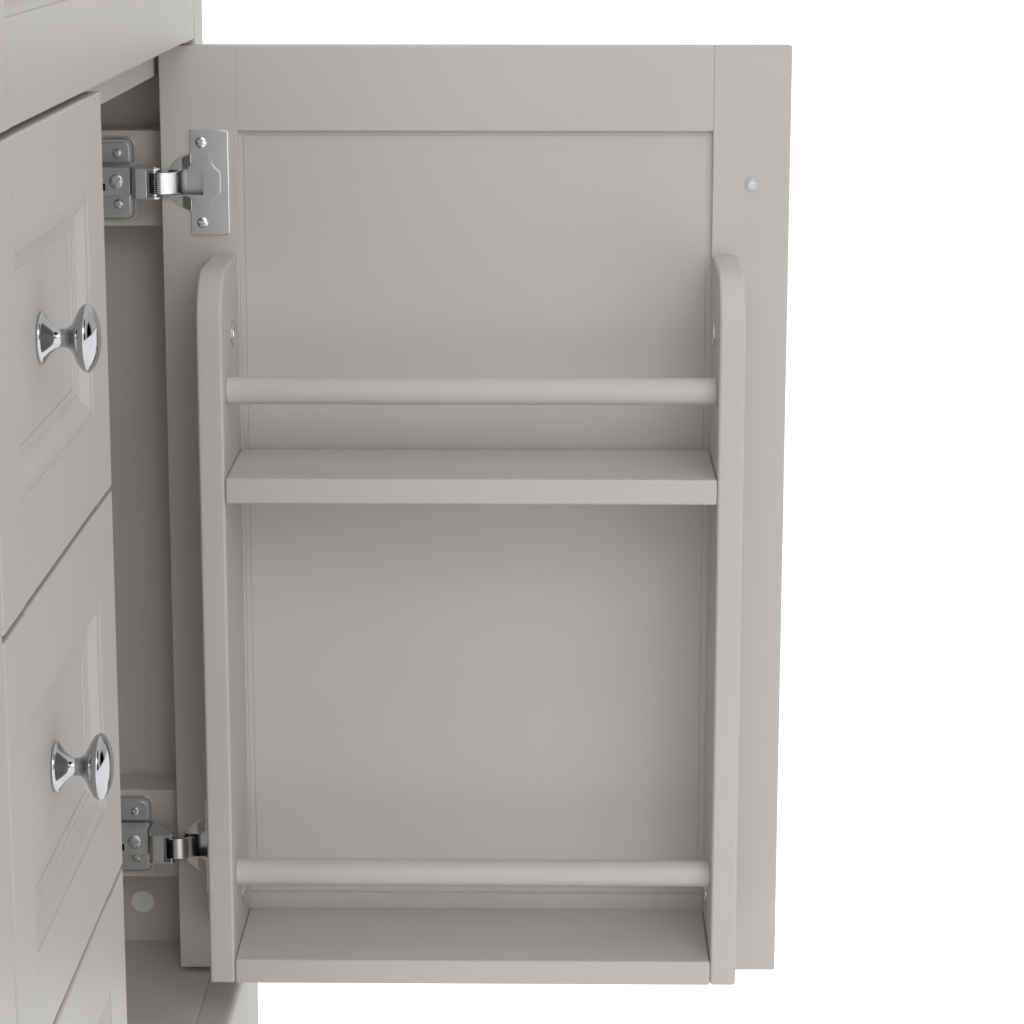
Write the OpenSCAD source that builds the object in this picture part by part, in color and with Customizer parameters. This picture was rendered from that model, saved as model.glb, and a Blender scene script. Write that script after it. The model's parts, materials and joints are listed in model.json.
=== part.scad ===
// Pantry cabinet: inset drawers and doors in a case with corner posts.
// Origin on the floor under the middle of the case; +X to the right, the front faces -Y, +Z up.

/* [Case] */
// Width over the corner posts
case_w = 762; // [700:2:860]
// Depth from the front plane to the back
case_d = 406; // [380:2:480]
// Height to the top of the crown
case_h = 1829; // [1700:1:2000]
// Width of a corner post, across the front
post_w = 42; // [40:1:46]
// Depth of a corner post
post_d = 22; // [19:0.5:22.3]
// Thickness of the shelves, floor and divider
board_t = 15; // [12:1:18]
// Thickness of the side panels
side_t = 4.5; // [4:0.5:6]
// Thickness of the back panel
back_t = 6; // [4:0.5:8]
// Height of the base and its moulding
base_h = 95; // [80:1:110]
// How far the base moulding stands out
base_out = 20.5; // [14:0.5:24]
// Rounding of the base moulding's top edge
base_round = 5.5; // [3:0.5:8]
// Height of the crown moulding
crown_h = 72; // [60:1:90]
// How far the crown stands out
crown_out = 38; // [34:1:44]

/* [Fronts] */
// Gap round every inset front
gap = 3; // [3:0.5:4]
// Thickness of doors and drawer fronts
front_t = 16; // [16:0.5:17]
// Width of a stile
stile_w = 46; // [40:1:52]
// Width of a rail
rail_w = 50; // [44:1:54]
// Width of a drawer front's stile, with its moulding
drawer_stile_w = 65; // [54:1:68]
// Width of a drawer front's rail, with its moulding
drawer_rail_w = 58.5; // [52:0.5:60]
// Width of the shallow step outside a drawer front's hollow moulding
drawer_step = 8.6; // [4:0.2:9]
// Radius of the hollow moulding round each panel
cove_r = 6.4; // [4:0.2:6.8]
// Depth from the front face to the panel
panel_in = 7.3; // [7:0.1:8]
// Thickness of a panel
panel_t = 5; // [4:0.5:5]
// Rounding of the fronts' outer edges
edge_r = 3.5; // [3.5:0.1:4]
// Width of the door beside the drawers
door_w = 375.5; // [360:0.5:380]
// Height of the door and of the drawer stack beside it
door_h = 577.5; // [570:0.5:600]
// Height of the wide drawer's front
wide_h = 150; // [140:1:170]
// Height of the two upper doors
upper_h = 900; // [800:5:920]

/* [Rails behind the fronts] */
// How far the recessed rails sit behind the front plane
recess = 22.5; // [22.5:0.5:26]
// Height of the recessed rails
recess_rail_h = 40; // [36:1:44]

/* [Drawers] */
// Length of the drawer boxes and runners
drawer_l = 350; // [340:5:355]
// Height of the narrow drawer boxes
narrow_box_h = 130; // [90:5:140]
// Height of the wide drawer box
wide_box_h = 95; // [80:5:100]

/* [Spice rack] */
// Distance from the door's hinge edge to the rack
rack_u = 29.6; // [29:0.2:32]
// Width over the rack's side boards
rack_w = 315.3; // [300:0.1:318]
// Depth of the rack
rack_d = 91.5; // [80:0.5:94]
// Height of the rack's side boards
rack_h = 428.3; // [400:0.1:440]
// Height of the rack's foot above the door's lower edge
rack_z = 24.9; // [20:0.1:30]
// Thickness of the rack's boards
rack_t = 15; // [12:0.5:15]
// Radius of the side boards' top corner
rack_r = 30; // [20:1:40]
// Height of the upper rack shelf's top above the door's lower edge
rack_shelf_z = 334.5; // [300:0.5:340]
// Diameter of the dowel rails
dowel_d = 16; // [12:0.5:18]
// Height of a dowel's centre above the shelf below it
dowel_z = 48; // [40:0.5:60]

/* [Hardware] */
// Distance from a door's end to its hinge's centre
hinge_end = 81; // [75:1:95]
// Diameter of the hinge cups
cup_d = 35; // [35:0.1:35]
// Distance between a hinge cup's two screws
cup_screws = 48; // [48:0.1:48]
// Diameter of a knob's head
knob_d = 30; // [26:0.5:34]
// Height of a knob
knob_h = 26.3; // [24:0.1:30]

/* [Hidden] */
$fn = 48;

PAINT = [0.73, 0.715, 0.70];
STEEL = [0.66, 0.66, 0.67];
BRIGHT = [0.85, 0.85, 0.87];
WHITE = [0.92, 0.92, 0.9];

// the case
half_w = case_w/2;
front_y = -case_d/2;
back_y = case_d/2;
open_x = half_w - post_w;                 // inner edge of the posts
wall_x = half_w - 2 - side_t;             // inner face of the side panels
floor_z = base_h;
recess_y = front_y + recess;              // front face of the recessed rails
hair = 0.1;                               // hairline between pieces that touch
lip = 0.2;                                // clearance between separate boards
groove = 8;                               // depth of the grooves that hold the fronts' panels
head_rail_t = 19;
cover_d = 15;                             // cam covers
cover_in = 50.5;                          // front or back plane to a cam cover
cover_end = 27;                           // floor or top to a cam cover

between_posts = [front_y + post_d + lip, back_y - post_d - lip];   // depth of the side panels

// heights of the fronts
low_z = floor_z + gap;
wide_z = low_z + door_h + gap;
upper_z = wide_z + wide_h + gap;
head_z = upper_z + upper_h + gap;
stack_n = 3;
stack_h = (door_h - (stack_n - 1)*gap)/stack_n;
stack_w = 2*open_x - 3*gap - door_w;
wide_w = 2*open_x - 2*gap;
upper_w = (2*open_x - 3*gap)/2;
stack_x = gap - open_x;                   // left edge of the drawer stack
divider_x = stack_x + stack_w + gap/2;    // middle of the divider
inner_y = front_y + front_t;              // rear face of the closed fronts
function stack_low(i) = low_z + (stack_n - 1 - i)*(stack_h + gap);

// rails, decks and shelves
rail_mid_z = wide_z - 21.5;               // underside of the rail above the rack door
deck_rail_z = wide_z + wide_h - 18.5;     // underside of the rail behind the upper doors' feet
rail_t = board_t;
rail_back_y = recess_y + rail_t;
deck_z = rail_mid_z + recess_rail_h - board_t;
upper_deck_z = deck_rail_z + recess_rail_h - board_t;
top_z = head_z + 5;
post_top = case_h - 5;
inside_back_y = back_y - back_t;
shelf_n = 3;
shelf_pitch = (top_z - upper_deck_z - board_t)/(shelf_n + 1);
function shelf_z(i) = upper_deck_z + board_t + i*shelf_pitch;
cleat_h = 22;
cleat_t = 14;

// hinges: measured from the post's inner front edge, x away from the opening, y into the case
arm_pivot = [-26, 23];
cup_pivot = [-13.3, 11.35];               // with the door closed
link_turn = 9.4;                          // turn of the links while the door swings a quarter turn
function turned(v, a) = [v[0]*cos(a) - v[1]*sin(a), v[0]*sin(a) + v[1]*cos(a)];
cup_pivot_open = arm_pivot + turned(cup_pivot - arm_pivot, -link_turn);
pivot_r = 1.5;
pivot_gap = 0.05;                         // running clearance round a pivot
cup_edge = 20.5;                          // door edge to the cup's middle
cup_deep = 11.5;
cup_wall = 1.5;
cup_bore_gap = 0.1;
flange_u = 18;                            // door edge to the flange
flange_w = 23;
flange_h = 62.5;
flange_t = 1.5;
flange_screw = 6.5;                       // flange's edge to its screws
flange_slot = 7.4;                        // depth of the slot that the links pass through
hood_in = 17.6;                           // flange's edge to the hood's far side
hood_out = 2.8;                           // how far the hood overhangs that edge
hood_h = 23.2;
hood_t = 2.5;
link_half = 6.5;                          // half the links' width
slot_half = link_half + 0.8;              // half the flange slot's width
fork_half = link_half + 0.3;
arm_half = 9.25;
block_face = 2.5;
plate_y = 38;                             // front end of the mounting plate
plate_screw_y = 48.5;
arm_screw_y = 47.4;
plate_screw_z = [-15, 15];
block_l = 66;
block_h = 58;
plate_wing_h = 50.6;
plate_wing_l = 24;
lower_hinge_z = [low_z + hinge_end, low_z + door_h - hinge_end];
upper_hinge_z = [upper_z + hinge_end, upper_z + upper_h - hinge_end];

// drawers
runner_w = 12.7;                          // room for a runner beside a drawer box
runner_h = 45;
sheet = 1.5;                              // thickness of runner steel
wall_t = 12;                              // thickness of the drawer boxes' boards
bottom_t = 6;
bottom_lift = 8;                          // lower edge of a drawer's side to the slot for its bottom
slot_in = 5;                              // depth of that slot
divider_left = divider_x - board_t/2;
stack_box_x = [-open_x + runner_w, divider_left - runner_w];
wide_box_x = [-open_x + runner_w, open_x - runner_w];
stack_box_lift = 24;
wide_box_z = rail_mid_z + recess_rail_h + 8;
runner_y = [inner_y + 6, inner_y + drawer_l];
knob_hole_r = 2.3;
screw_r = 2;
knob_stack_x = stack_x + stack_w/2;
knob_wide_x = wide_w/4;
knob_edge = 22.4;                         // door's free edge to its knob
rack_knob_z = low_z + door_h - 81.5;
upper_knob_z = upper_z + 250;

// ---------- general shapes ----------

module block(x, y, z)
    translate([x[0], y[0], z[0]]) cube([x[1] - x[0], y[1] - y[0], z[1] - z[0]]);

// a board seen in plan, extruded upwards
module plan(z, t) translate([0, 0, z]) linear_extrude(t) children();

// a side view drawn as (depth, height), extruded along X
module side_view(x, t) translate([x, 0, 0]) rotate([90, 0, 90]) linear_extrude(t) children();

module both_sides() for (s = [0, 1]) mirror([s, 0, 0]) children();

// children turned about the Z axis, about a point in plan
module turn_about(p, a) translate([p[0], p[1], 0]) rotate([0, 0, a]) translate([-p[0], -p[1], 0]) children();

// ---------- frame-and-panel fronts, with the lower left outer corner at the origin ----------

// widths of a stile, of a rail and of the step outside the moulding
door_frame = [stile_w, rail_w, 0];
drawer_frame = [drawer_stile_w, drawer_rail_w, drawer_step];
step_deep = 1.2;

// the hollow moulding round a panel opening
module cove(w, h, f) {
    for (x = [f[0], w - f[0]]) translate([x, 0, f[1]]) cylinder(r = cove_r, h = h - 2*f[1]);
    for (z = [f[1], h - f[1]]) translate([f[0], 0, z]) rotate([0, 90, 0])
        cylinder(r = cove_r, h = w - 2*f[0]);
    for (x = [f[0], w - f[0]], z = [f[1], h - f[1]]) translate([x, 0, z]) sphere(r = cove_r);
    if (f[2] > 0) {
        out = cove_r + f[2];
        block([f[0] - out, w - f[0] + out], [-1, step_deep], [f[1] - out, h - f[1] + out]);
    }
}

// the groove that holds the panel
module panel_groove(w, h, f)
    block([f[0] - groove, w - f[0] + groove], [panel_in - hair, panel_in + panel_t + hair],
          [f[1] - groove, h - f[1] + groove]);

module eased_corner(r) difference() {
    translate([-1, -1]) square(r + 1);
    translate([r, r]) circle(r);
}

module stile(x, w, h, left, f) difference() {
    translate([x, 0, 0]) linear_extrude(h) difference() {
        square([f[0], front_t]);
        if (left) eased_corner(edge_r);
        else translate([f[0], 0]) mirror([1, 0]) eased_corner(edge_r);
    }
    cove(w, h, f);
    panel_groove(w, h, f);
}

module stiles(w, h, f = door_frame) {
    stile(0, w, h, true, f);
    stile(w - f[0], w, h, false, f);
}

module rails(w, h, f = door_frame) for (top = [0, 1]) difference() {
    block([f[0] + hair, w - f[0] - hair], [0, front_t], [top*(h - f[1]), top*(h - f[1]) + f[1]]);
    cove(w, h, f);
    panel_groove(w, h, f);
}

module panel(w, h, f = door_frame) {
    tongue = groove - lip;
    block([f[0] - tongue, w - f[0] + tongue], [panel_in, panel_in + panel_t],
          [f[1] - tongue, h - f[1] + tongue]);
}

// a turned mushroom knob on a face at y = 0, with its screw through material of depth grip
module knob(grip) {
    core_r = 3.5;
    foot_t = 1.6;
    foot_r = knob_d*0.36;
    stem_r = knob_d*0.33;
    head_low = knob_h*0.66;                   // where the head begins
    face_r = 22;
    under_r = 20;
    rotate([90, 0, 0]) difference() {
        rotate_extrude() union() {
            square([foot_r, foot_t]);
            difference() {
                translate([0, foot_t]) square([stem_r, knob_h*0.62]);
                translate([stem_r + 1.9, knob_h*0.38]) circle(r = knob_h*0.31);
            }
            intersection() {
                translate([0, head_low]) square([knob_d/2, knob_h - head_low]);
                translate([0, knob_h - face_r]) circle(r = face_r, $fn = 96);
                translate([0, head_low + 14]) circle(r = under_r, $fn = 96);
            }
            square([core_r, knob_h*0.8]);
        }
        translate([0, 0, -1]) cylinder(r = screw_r + 0.05, h = 13);
    }
    rotate([90, 0, 0]) translate([0, 0, -grip]) {
        cylinder(r = screw_r, h = grip + 11);
        difference() {
            translate([0, 0, -2.4]) cylinder(r = 4, h = 2.4);
            for (a = [0, 90]) rotate([0, 0, a]) translate([-2.2, -0.5, -3]) cube([4.4, 1, 2]);
        }
    }
}

// ---------- hinges, in the hinge's own plan coordinates at height 0 ----------

module hinge_block_shape()
    block([block_face, wall_x - open_x - lip], [post_d + lip, post_d + lip + block_l],
          [-block_h/2, block_h/2]);

module hinge_plate_shape() difference() {
    rotate([0, 90, 0]) linear_extrude(block_face - hair) union() {
        translate([-10, plate_y]) square([20, 46]);
        translate([-plate_wing_h/2, plate_y]) square([plate_wing_h, plate_wing_l]);
    }
    for (z = plate_screw_z) translate([-1, plate_screw_y, z]) rotate([0, 90, 0]) cylinder(r = 1.6, h = 6);
}

module hinge_screws_shape() for (z = plate_screw_z) translate([0, plate_screw_y, z]) rotate([0, -90, 0])
    difference() {
        cylinder(r = 3, h = 1.6);
        for (a = [0, 90]) rotate([0, 0, a]) translate([-1.8, -0.4, 0.7]) cube([3.6, 0.8, 2]);
    }

module hinge_arm_shape() {
    nose = arm_pivot;
    difference() {
        translate([0, 0, -arm_half]) linear_extrude(2*arm_half) union() {
            translate(nose) circle(r = 4);
            polygon([[-30, 23], [-29.5, 34.5], [-27, 36.5], [-15, 38.5], [-15, plate_y + 42],
                     [-hair, plate_y + 42], [-hair, plate_y + 2], [-6, plate_y - 1], [-9, 30.5],
                     [-17, 26.2], [-22, 23]]);
        }
        block([nose[0] - 6, nose[0] + 9], [nose[1] - 6, nose[1] + 10], [-fork_half, fork_half]);
        translate([-20, arm_screw_y, 0]) rotate([0, 90, 0]) cylinder(r = 4.6, h = 8);
    }
    translate([nose[0], nose[1], -fork_half - 1]) cylinder(r = pivot_r, h = 2*fork_half + 2);
}

// the goose-neck links in the place they have with the door open
module hinge_link_shape() difference() {
    translate([0, 0, -link_half]) linear_extrude(2*link_half) union() {
        translate(arm_pivot) circle(r = 3.2);
        translate(cup_pivot_open) circle(r = 2.9);
        polygon([[-28.6, 22.5], [-28.2, 18], [-26.8, 13], [-21.9, 8.7], [-16.4, 7], [-15.1, 9.3],
                 [-20.6, 10.9], [-24.8, 14.4], [-26, 18.6], [-26, 22.5]]);
    }
    for (p = [arm_pivot, cup_pivot_open]) translate([p[0], p[1], -10])
        cylinder(r = pivot_r + pivot_gap, h = 20);
}

// cup, flange and pivot in a closed door
module hinge_cup_shape() {
    cup_x = -gap - cup_edge;
    flange_x = -gap - flange_u;
    screws = [-cup_screws/2, cup_screws/2];
    difference() {
        union() {
            translate([cup_x, front_t - cup_deep, 0]) rotate([-90, 0, 0])
                cylinder(r = cup_d/2, h = cup_deep, $fn = 72);
            block([flange_x - flange_w, flange_x], [front_t, front_t + flange_t], [-flange_h/2, flange_h/2]);
            block([flange_x - hood_in, flange_x + hood_out], [front_t, front_t + hood_t],
                  [-hood_h/2, hood_h/2]);
        }
        translate([cup_x, front_t - cup_deep + cup_wall, 0]) rotate([-90, 0, 0])
            cylinder(r = cup_d/2 - cup_wall, h = cup_deep - cup_wall, $fn = 72);
        block([flange_x - flange_slot, flange_x + hood_out + 1], [front_t - 1, front_t + 6],
              [-slot_half, slot_half]);
        for (z = screws) translate([flange_x - flange_screw, front_t - 1, z]) rotate([-90, 0, 0])
            cylinder(r = 1.7, h = 5);
    }
    translate([cup_pivot[0], cup_pivot[1], -13.2]) cylinder(r = pivot_r, h = 26.4);
    for (z = screws) translate([flange_x - flange_screw, front_t + flange_t + 0.02, z])
        rotate([-90, 0, 0]) difference() {
            cylinder(r = 3.4, h = 1.4);
            for (a = [0, 90]) rotate([0, 0, a]) translate([-2, -0.4, 0.6]) cube([4, 0.8, 2]);
        }
}

module cup_bore() translate([-gap - cup_edge, front_t - cup_deep - 0.3, 0]) rotate([-90, 0, 0])
    cylinder(r = cup_d/2 + cup_bore_gap, h = cup_deep + 2, $fn = 72);

module at_right_hinges(heights) for (z = heights) translate([open_x, front_y, z]) children();
module at_left_hinges(heights) mirror([1, 0, 0]) at_right_hinges(heights) children();
module at_all_hinges() {
    at_right_hinges(concat(lower_hinge_z, upper_hinge_z)) children();
    at_left_hinges(upper_hinge_z) children();
}
module link_closed() turn_about(arm_pivot, link_turn) children();

// the rack door stands open a quarter turn
module rack_door_open() translate([open_x, front_y, 0]) translate([cup_pivot_open[0], cup_pivot_open[1], 0])
    rotate([0, 0, 90]) translate([-cup_pivot[0] - open_x, -cup_pivot[1] - front_y, 0]) children();

// ---------- the case ----------

module corner_posts() color(PAINT) both_sides() {
    block([open_x, half_w], [front_y, front_y + post_d], [0, post_top]);
    difference() {
        block([open_x, half_w], [back_y - post_d, back_y], [0, post_top]);
        block([open_x - 1, wall_x + lip], [inside_back_y - lip, back_y + 1],
              [base_h - board_t - lip, top_z + board_t + lip]);
    }
}

module middle_rail() color(PAINT)
    block([-wall_x + lip, wall_x - lip], [recess_y, rail_back_y], [rail_mid_z, rail_mid_z + recess_rail_h]);

module deck_rail() color(PAINT)
    block([-wall_x + lip, wall_x - lip], [recess_y, rail_back_y], [deck_rail_z, deck_rail_z + recess_rail_h]);

module head_rail() color(PAINT)
    block([-open_x + lip, open_x - lip], [front_y, front_y + head_rail_t], [head_z, post_top]);

module side_panel_shape()
    block([wall_x, wall_x + side_t], between_posts, [0, case_h - crown_h + 12]);
module right_side_panel() color(PAINT) side_panel_shape();
module left_side_panel() color(PAINT) mirror([1, 0, 0]) side_panel_shape();

module back_panel() color(PAINT)
    block([-wall_x + lip, wall_x - lip], [inside_back_y, back_y - lip], [base_h - board_t, top_z + board_t]);

module floor_panel() color(PAINT) plan(floor_z - board_t, board_t) union() {
    translate([-open_x + lip, front_y]) square([2*(open_x - lip), inside_back_y - lip - front_y]);
    translate([-wall_x + lip, between_posts[0]]) square([2*(wall_x - lip), case_d - 2*post_d - 2*lip]);
}

module base_bearers() color(PAINT) {
    under = floor_z - board_t - lip;
    inset = 3;
    for (y = [front_y + inset, inside_back_y - board_t - inset])
        block([-open_x + lip, open_x - lip], [y, y + board_t], [0, under]);
    block([-20, 20], [front_y + inset + board_t + lip, inside_back_y - board_t - inset - lip], [0, under]);
}

// a moulding's profile, drawn as (distance out, height), run round the front and both sides
module round_case(out, h) {
    reach = out + 1;
    intersection() {
        translate([-half_w - reach, front_y, 0]) rotate([90, 0, 90]) linear_extrude(2*(half_w + reach))
            mirror([1, 0]) children();
        linear_extrude(h) polygon([[-half_w, front_y], [half_w, front_y], [half_w + reach, front_y - reach],
                                   [-half_w - reach, front_y - reach]]);
    }
    both_sides() intersection() {
        translate([half_w, back_y, 0]) rotate([90, 0, 0]) linear_extrude(case_d + reach) children();
        linear_extrude(h) polygon([[half_w, front_y], [half_w + reach, front_y - reach],
                                   [half_w + reach, back_y], [half_w, back_y]]);
    }
}

module base_profile() difference() {
    square([base_out, base_h]);
    translate([base_out, base_h]) mirror([1, 1]) eased_corner(base_round);
}

module base_moulding() color(PAINT) round_case(base_out, base_h) base_profile();

module crown_profile() {
    cove = crown_out - 8;
    difference() {
        union() {
            square([8, crown_h]);
            translate([0, 14]) square([crown_out, crown_h - 14]);
        }
        translate([crown_out, 14]) circle(r = cove, $fn = 96);
        translate([crown_out, crown_h]) mirror([1, 1]) eased_corner(4);
    }
}

module crown_moulding() color(PAINT) translate([0, 0, case_h - crown_h]) round_case(crown_out, crown_h)
    crown_profile();

module divider() color(PAINT) side_view(divider_left, board_t) polygon([
    [recess_y, floor_z + lip], [inside_back_y - lip, floor_z + lip], [inside_back_y - lip, deck_z - lip],
    [rail_back_y + lip, deck_z - lip], [rail_back_y + lip, rail_mid_z - lip], [recess_y, rail_mid_z - lip]]);

// a deck notched round the rear posts, with its front edge at depth y
module deck(z, y) plan(z, board_t) union() {
    translate([-open_x + lip, y]) square([2*(open_x - lip), inside_back_y - lip - y]);
    translate([-wall_x + lip, y]) square([2*(wall_x - lip), back_y - post_d - lip - y]);
}
module drawer_deck() color(PAINT) deck(deck_z, rail_back_y + lip);
module upper_deck() color(PAINT) deck(upper_deck_z, rail_back_y + lip);

module top_panel() color(PAINT) plan(top_z, board_t) union() {
    translate([-open_x + lip, front_y + head_rail_t + lip])
        square([2*(open_x - lip), inside_back_y - head_rail_t - front_y - 2*lip]);
    translate([-wall_x + lip, between_posts[0]]) square([2*(wall_x - lip), case_d - 2*post_d - 2*lip]);
}

module upper_shelves() color(PAINT) for (i = [1 : shelf_n]) deck(shelf_z(i), rail_back_y);

// strips on the side panels that carry the shelves
module shelf_cleats() color(PAINT) both_sides() for (i = [1 : shelf_n])
    block([wall_x - cleat_t, wall_x - lip], [rail_back_y + 4, between_posts[1]],
          [shelf_z(i) - cleat_h, shelf_z(i) - hair]);

module hinge_blocks() color(PAINT) at_all_hinges() hinge_block_shape();
module hinge_plates() color(STEEL) at_all_hinges() {
    hinge_plate_shape();
    hinge_screws_shape();
}
module hinge_arms() color(STEEL) at_all_hinges() hinge_arm_shape();

// round covers over the cam fittings inside the side panels
module cam_covers() color(WHITE) both_sides()
    for (y = [front_y + cover_in, back_y - cover_in], z = [floor_z + cover_end, top_z - cover_end])
    translate([wall_x - lip, y, z]) rotate([0, -90, 0]) difference() {
        cylinder(d = cover_d, h = 1.2);
        for (a = [0, 90]) rotate([0, 0, a + 45]) translate([-3.2, -0.6, 0.7]) cube([6.4, 1.2, 1]);
    }

// ---------- drawers ----------

function stack_runner_z(i) = stack_low(i) + stack_box_lift + narrow_box_h/2;
wide_runner_z = wide_box_z + wide_box_h/2;

// the channel fixed to the wall on a box's left, whose inner edge is at x
module channel(x, z) difference() {
    block([x, x + runner_w - 2.5], runner_y, [z - runner_h/2, z + runner_h/2]);
    block([x + sheet, x + runner_w], [runner_y[0] - 1, runner_y[1] + 1],
          [z - runner_h/2 + sheet, z + runner_h/2 - sheet]);
}

// the moving slide on a box's left side, which is at x
module slide_bar(x, z) {
    half = runner_h/2 - sheet - 0.3;
    difference() {
        block([x - 10.5, x - hair], [runner_y[0] + 4, runner_y[1] - 2], [z - half, z + half]);
        block([x - 11, x - sheet], [runner_y[0], runner_y[1]], [z - half + sheet, z + half - sheet]);
    }
}

// children drawn for a left wall, repeated on the right of the space between the walls
module on_both_walls(walls) {
    children();
    translate([walls[0] + walls[1], 0, 0]) mirror([1, 0, 0]) children();
}

module runner_channels() color(STEEL) {
    on_both_walls([-open_x, open_x]) channel(-open_x, wide_runner_z);
    for (i = [0 : stack_n - 1]) on_both_walls([-open_x, divider_left]) channel(-open_x, stack_runner_z(i));
}

module runner_cleats() color(PAINT) {
    half = [-runner_h/2, runner_h/2];
    for (i = [0 : stack_n - 1]) translate([0, 0, stack_runner_z(i)])
        block([-wall_x + lip, -open_x - hair], between_posts, half);
    both_sides() translate([0, 0, wide_runner_z]) block([open_x + hair, wall_x - lip], between_posts, half);
}

module drawer_box(x, z, h, knobs, knob_z) {
    y = [inner_y + hair, inner_y + drawer_l];
    inside = [x[0] + wall_t, x[1] - wall_t];
    slot = [z + bottom_lift, z + bottom_lift + bottom_t + 2*lip];
    across = [inside[0] + lip, inside[1] - lip];
    for (s = [x[0], inside[1]]) difference() {
        block([s, s + wall_t], y, [z, z + h]);
        block([inside[0] - slot_in, inside[1] + slot_in], [y[0] - 1, y[1] + 1], slot);
    }
    difference() {
        block(across, [y[0], y[0] + wall_t], [slot[1], z + h]);
        for (k = knobs) knob_hole_at(k, knob_z);
    }
    block(across, [y[1] - wall_t, y[1]], [slot[1], z + h]);
    block([inside[0] - slot_in + lip, inside[1] + slot_in - lip], [y[0] + 1, y[1] - 1],
          [slot[0] + lip, slot[1] - lip]);
}

module knob_hole_at(x, z) translate([x, front_y, z]) rotate([-90, 0, 0]) cylinder(r = knob_hole_r, h = 60);

module drawer_front(x, z, w, h, knobs) difference() {
    translate([x, front_y, z]) {
        stiles(w, h, drawer_frame);
        rails(w, h, drawer_frame);
        panel(w, h, drawer_frame);
    }
    for (k = knobs) knob_hole_at(k, z + h/2);
}

module drawer_knob(x, z) translate([x, front_y + panel_in, z])
    knob(front_t + hair + wall_t - panel_in);

module stack_front(i) color(PAINT) drawer_front(stack_x, stack_low(i), stack_w, stack_h, [knob_stack_x]);
module stack_box(i) color(PAINT) drawer_box(stack_box_x, stack_low(i) + stack_box_lift, narrow_box_h,
    [knob_stack_x], stack_low(i) + stack_h/2);
module stack_knob(i) color(BRIGHT) drawer_knob(knob_stack_x, stack_low(i) + stack_h/2);
module stack_slides(i) color(STEEL) on_both_walls(stack_box_x) slide_bar(stack_box_x[0], stack_runner_z(i));

module top_drawer_front() stack_front(0);
module top_drawer_box() stack_box(0);
module top_drawer_knob() stack_knob(0);
module top_drawer_runners() stack_slides(0);
module centre_drawer_front() stack_front(1);
module centre_drawer_box() stack_box(1);
module centre_drawer_knob() stack_knob(1);
module centre_drawer_runners() stack_slides(1);
module bottom_drawer_front() stack_front(2);
module bottom_drawer_box() stack_box(2);
module bottom_drawer_knob() stack_knob(2);
module bottom_drawer_runners() stack_slides(2);

wide_knobs = [-knob_wide_x, knob_wide_x];
module wide_drawer_front() color(PAINT) drawer_front(-wide_w/2, wide_z, wide_w, wide_h, wide_knobs);
module wide_drawer_box() color(PAINT)
    drawer_box(wide_box_x, wide_box_z, wide_box_h, wide_knobs, wide_z + wide_h/2);
module wide_drawer_knobs() color(BRIGHT) for (k = wide_knobs) drawer_knob(k, wide_z + wide_h/2);
module wide_drawer_runners() color(STEEL) on_both_walls(wide_box_x) slide_bar(wide_box_x[0], wide_runner_z);

// ---------- the door with the spice rack ----------

rack_x = open_x - gap - door_w;           // free edge of the closed rack door
module in_rack_door() rack_door_open() translate([rack_x, front_y, low_z]) children();

module rack_door_stiles() color(PAINT) rack_door_open() difference() {
    translate([rack_x, front_y, low_z]) stiles(door_w, door_h);
    at_right_hinges(lower_hinge_z) cup_bore();
    knob_hole_at(rack_x + knob_edge, rack_knob_z);
}
module rack_door_rails() color(PAINT) in_rack_door() rails(door_w, door_h);
module rack_door_panel() color(PAINT) in_rack_door() panel(door_w, door_h);
module rack_door_knob() color(BRIGHT) rack_door_open() translate([rack_x + knob_edge, front_y, rack_knob_z])
    knob(front_t + hair);
module rack_door_hinge_cups() color(BRIGHT) rack_door_open() at_right_hinges(lower_hinge_z) hinge_cup_shape();
module rack_door_hinge_links() color(BRIGHT) at_right_hinges(lower_hinge_z) hinge_link_shape();

// rack coordinates: x from the door's free edge, y from its inner face, z from its lower edge
module in_rack() in_rack_door() translate([0, front_t + hair, 0]) children();
rack_left = door_w - rack_u - rack_w;
notch_h = 68;                             // notch in a side board, over a hinge flange
notch_in = 11;
dowel_in = 22;                            // rack's front edge to a dowel's centre
cam_z = [64, 411];
rack_inner = [rack_left + rack_t, rack_left + rack_w - rack_t];

module rack_side_outline() difference() {
    translate([0, rack_z]) square([rack_d, rack_h]);
    translate([rack_d, rack_z + rack_h]) mirror([1, 1]) eased_corner(rack_r);
}

module rack_sides() color(PAINT) in_rack() {
    side_view(rack_left, rack_t) rack_side_outline();
    side_view(rack_inner[1], rack_t) difference() {
        rack_side_outline();
        translate([-1, hinge_end - notch_h/2]) square([1 + notch_in, notch_h]);
    }
}

module rack_shelves() color(PAINT) in_rack() for (top = [rack_z + rack_t, rack_shelf_z])
    block([rack_inner[0] + hair, rack_inner[1] - hair], [0, rack_d], [top - rack_t, top]);

module rack_dowels() color(PAINT) in_rack() for (top = [rack_z + rack_t, rack_shelf_z])
    translate([rack_inner[0] + hair, rack_d - dowel_in, top + dowel_z]) rotate([0, 90, 0])
        cylinder(d = dowel_d, h = rack_inner[1] - rack_inner[0] - 2*hair);

module rack_cams() color(BRIGHT) in_rack() for (z = cam_z, s = [0, 1])
    translate([rack_inner[s], rack_d*0.38, z]) rotate([0, s == 0 ? 90 : -90, 0]) translate([0, 0, hair])
        difference() {
            cylinder(d = cover_d, h = 0.9);
            translate([0, 0, 0.4]) cylinder(d = 7, h = 1, $fn = 6);
        }

// ---------- the two upper doors ----------

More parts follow.
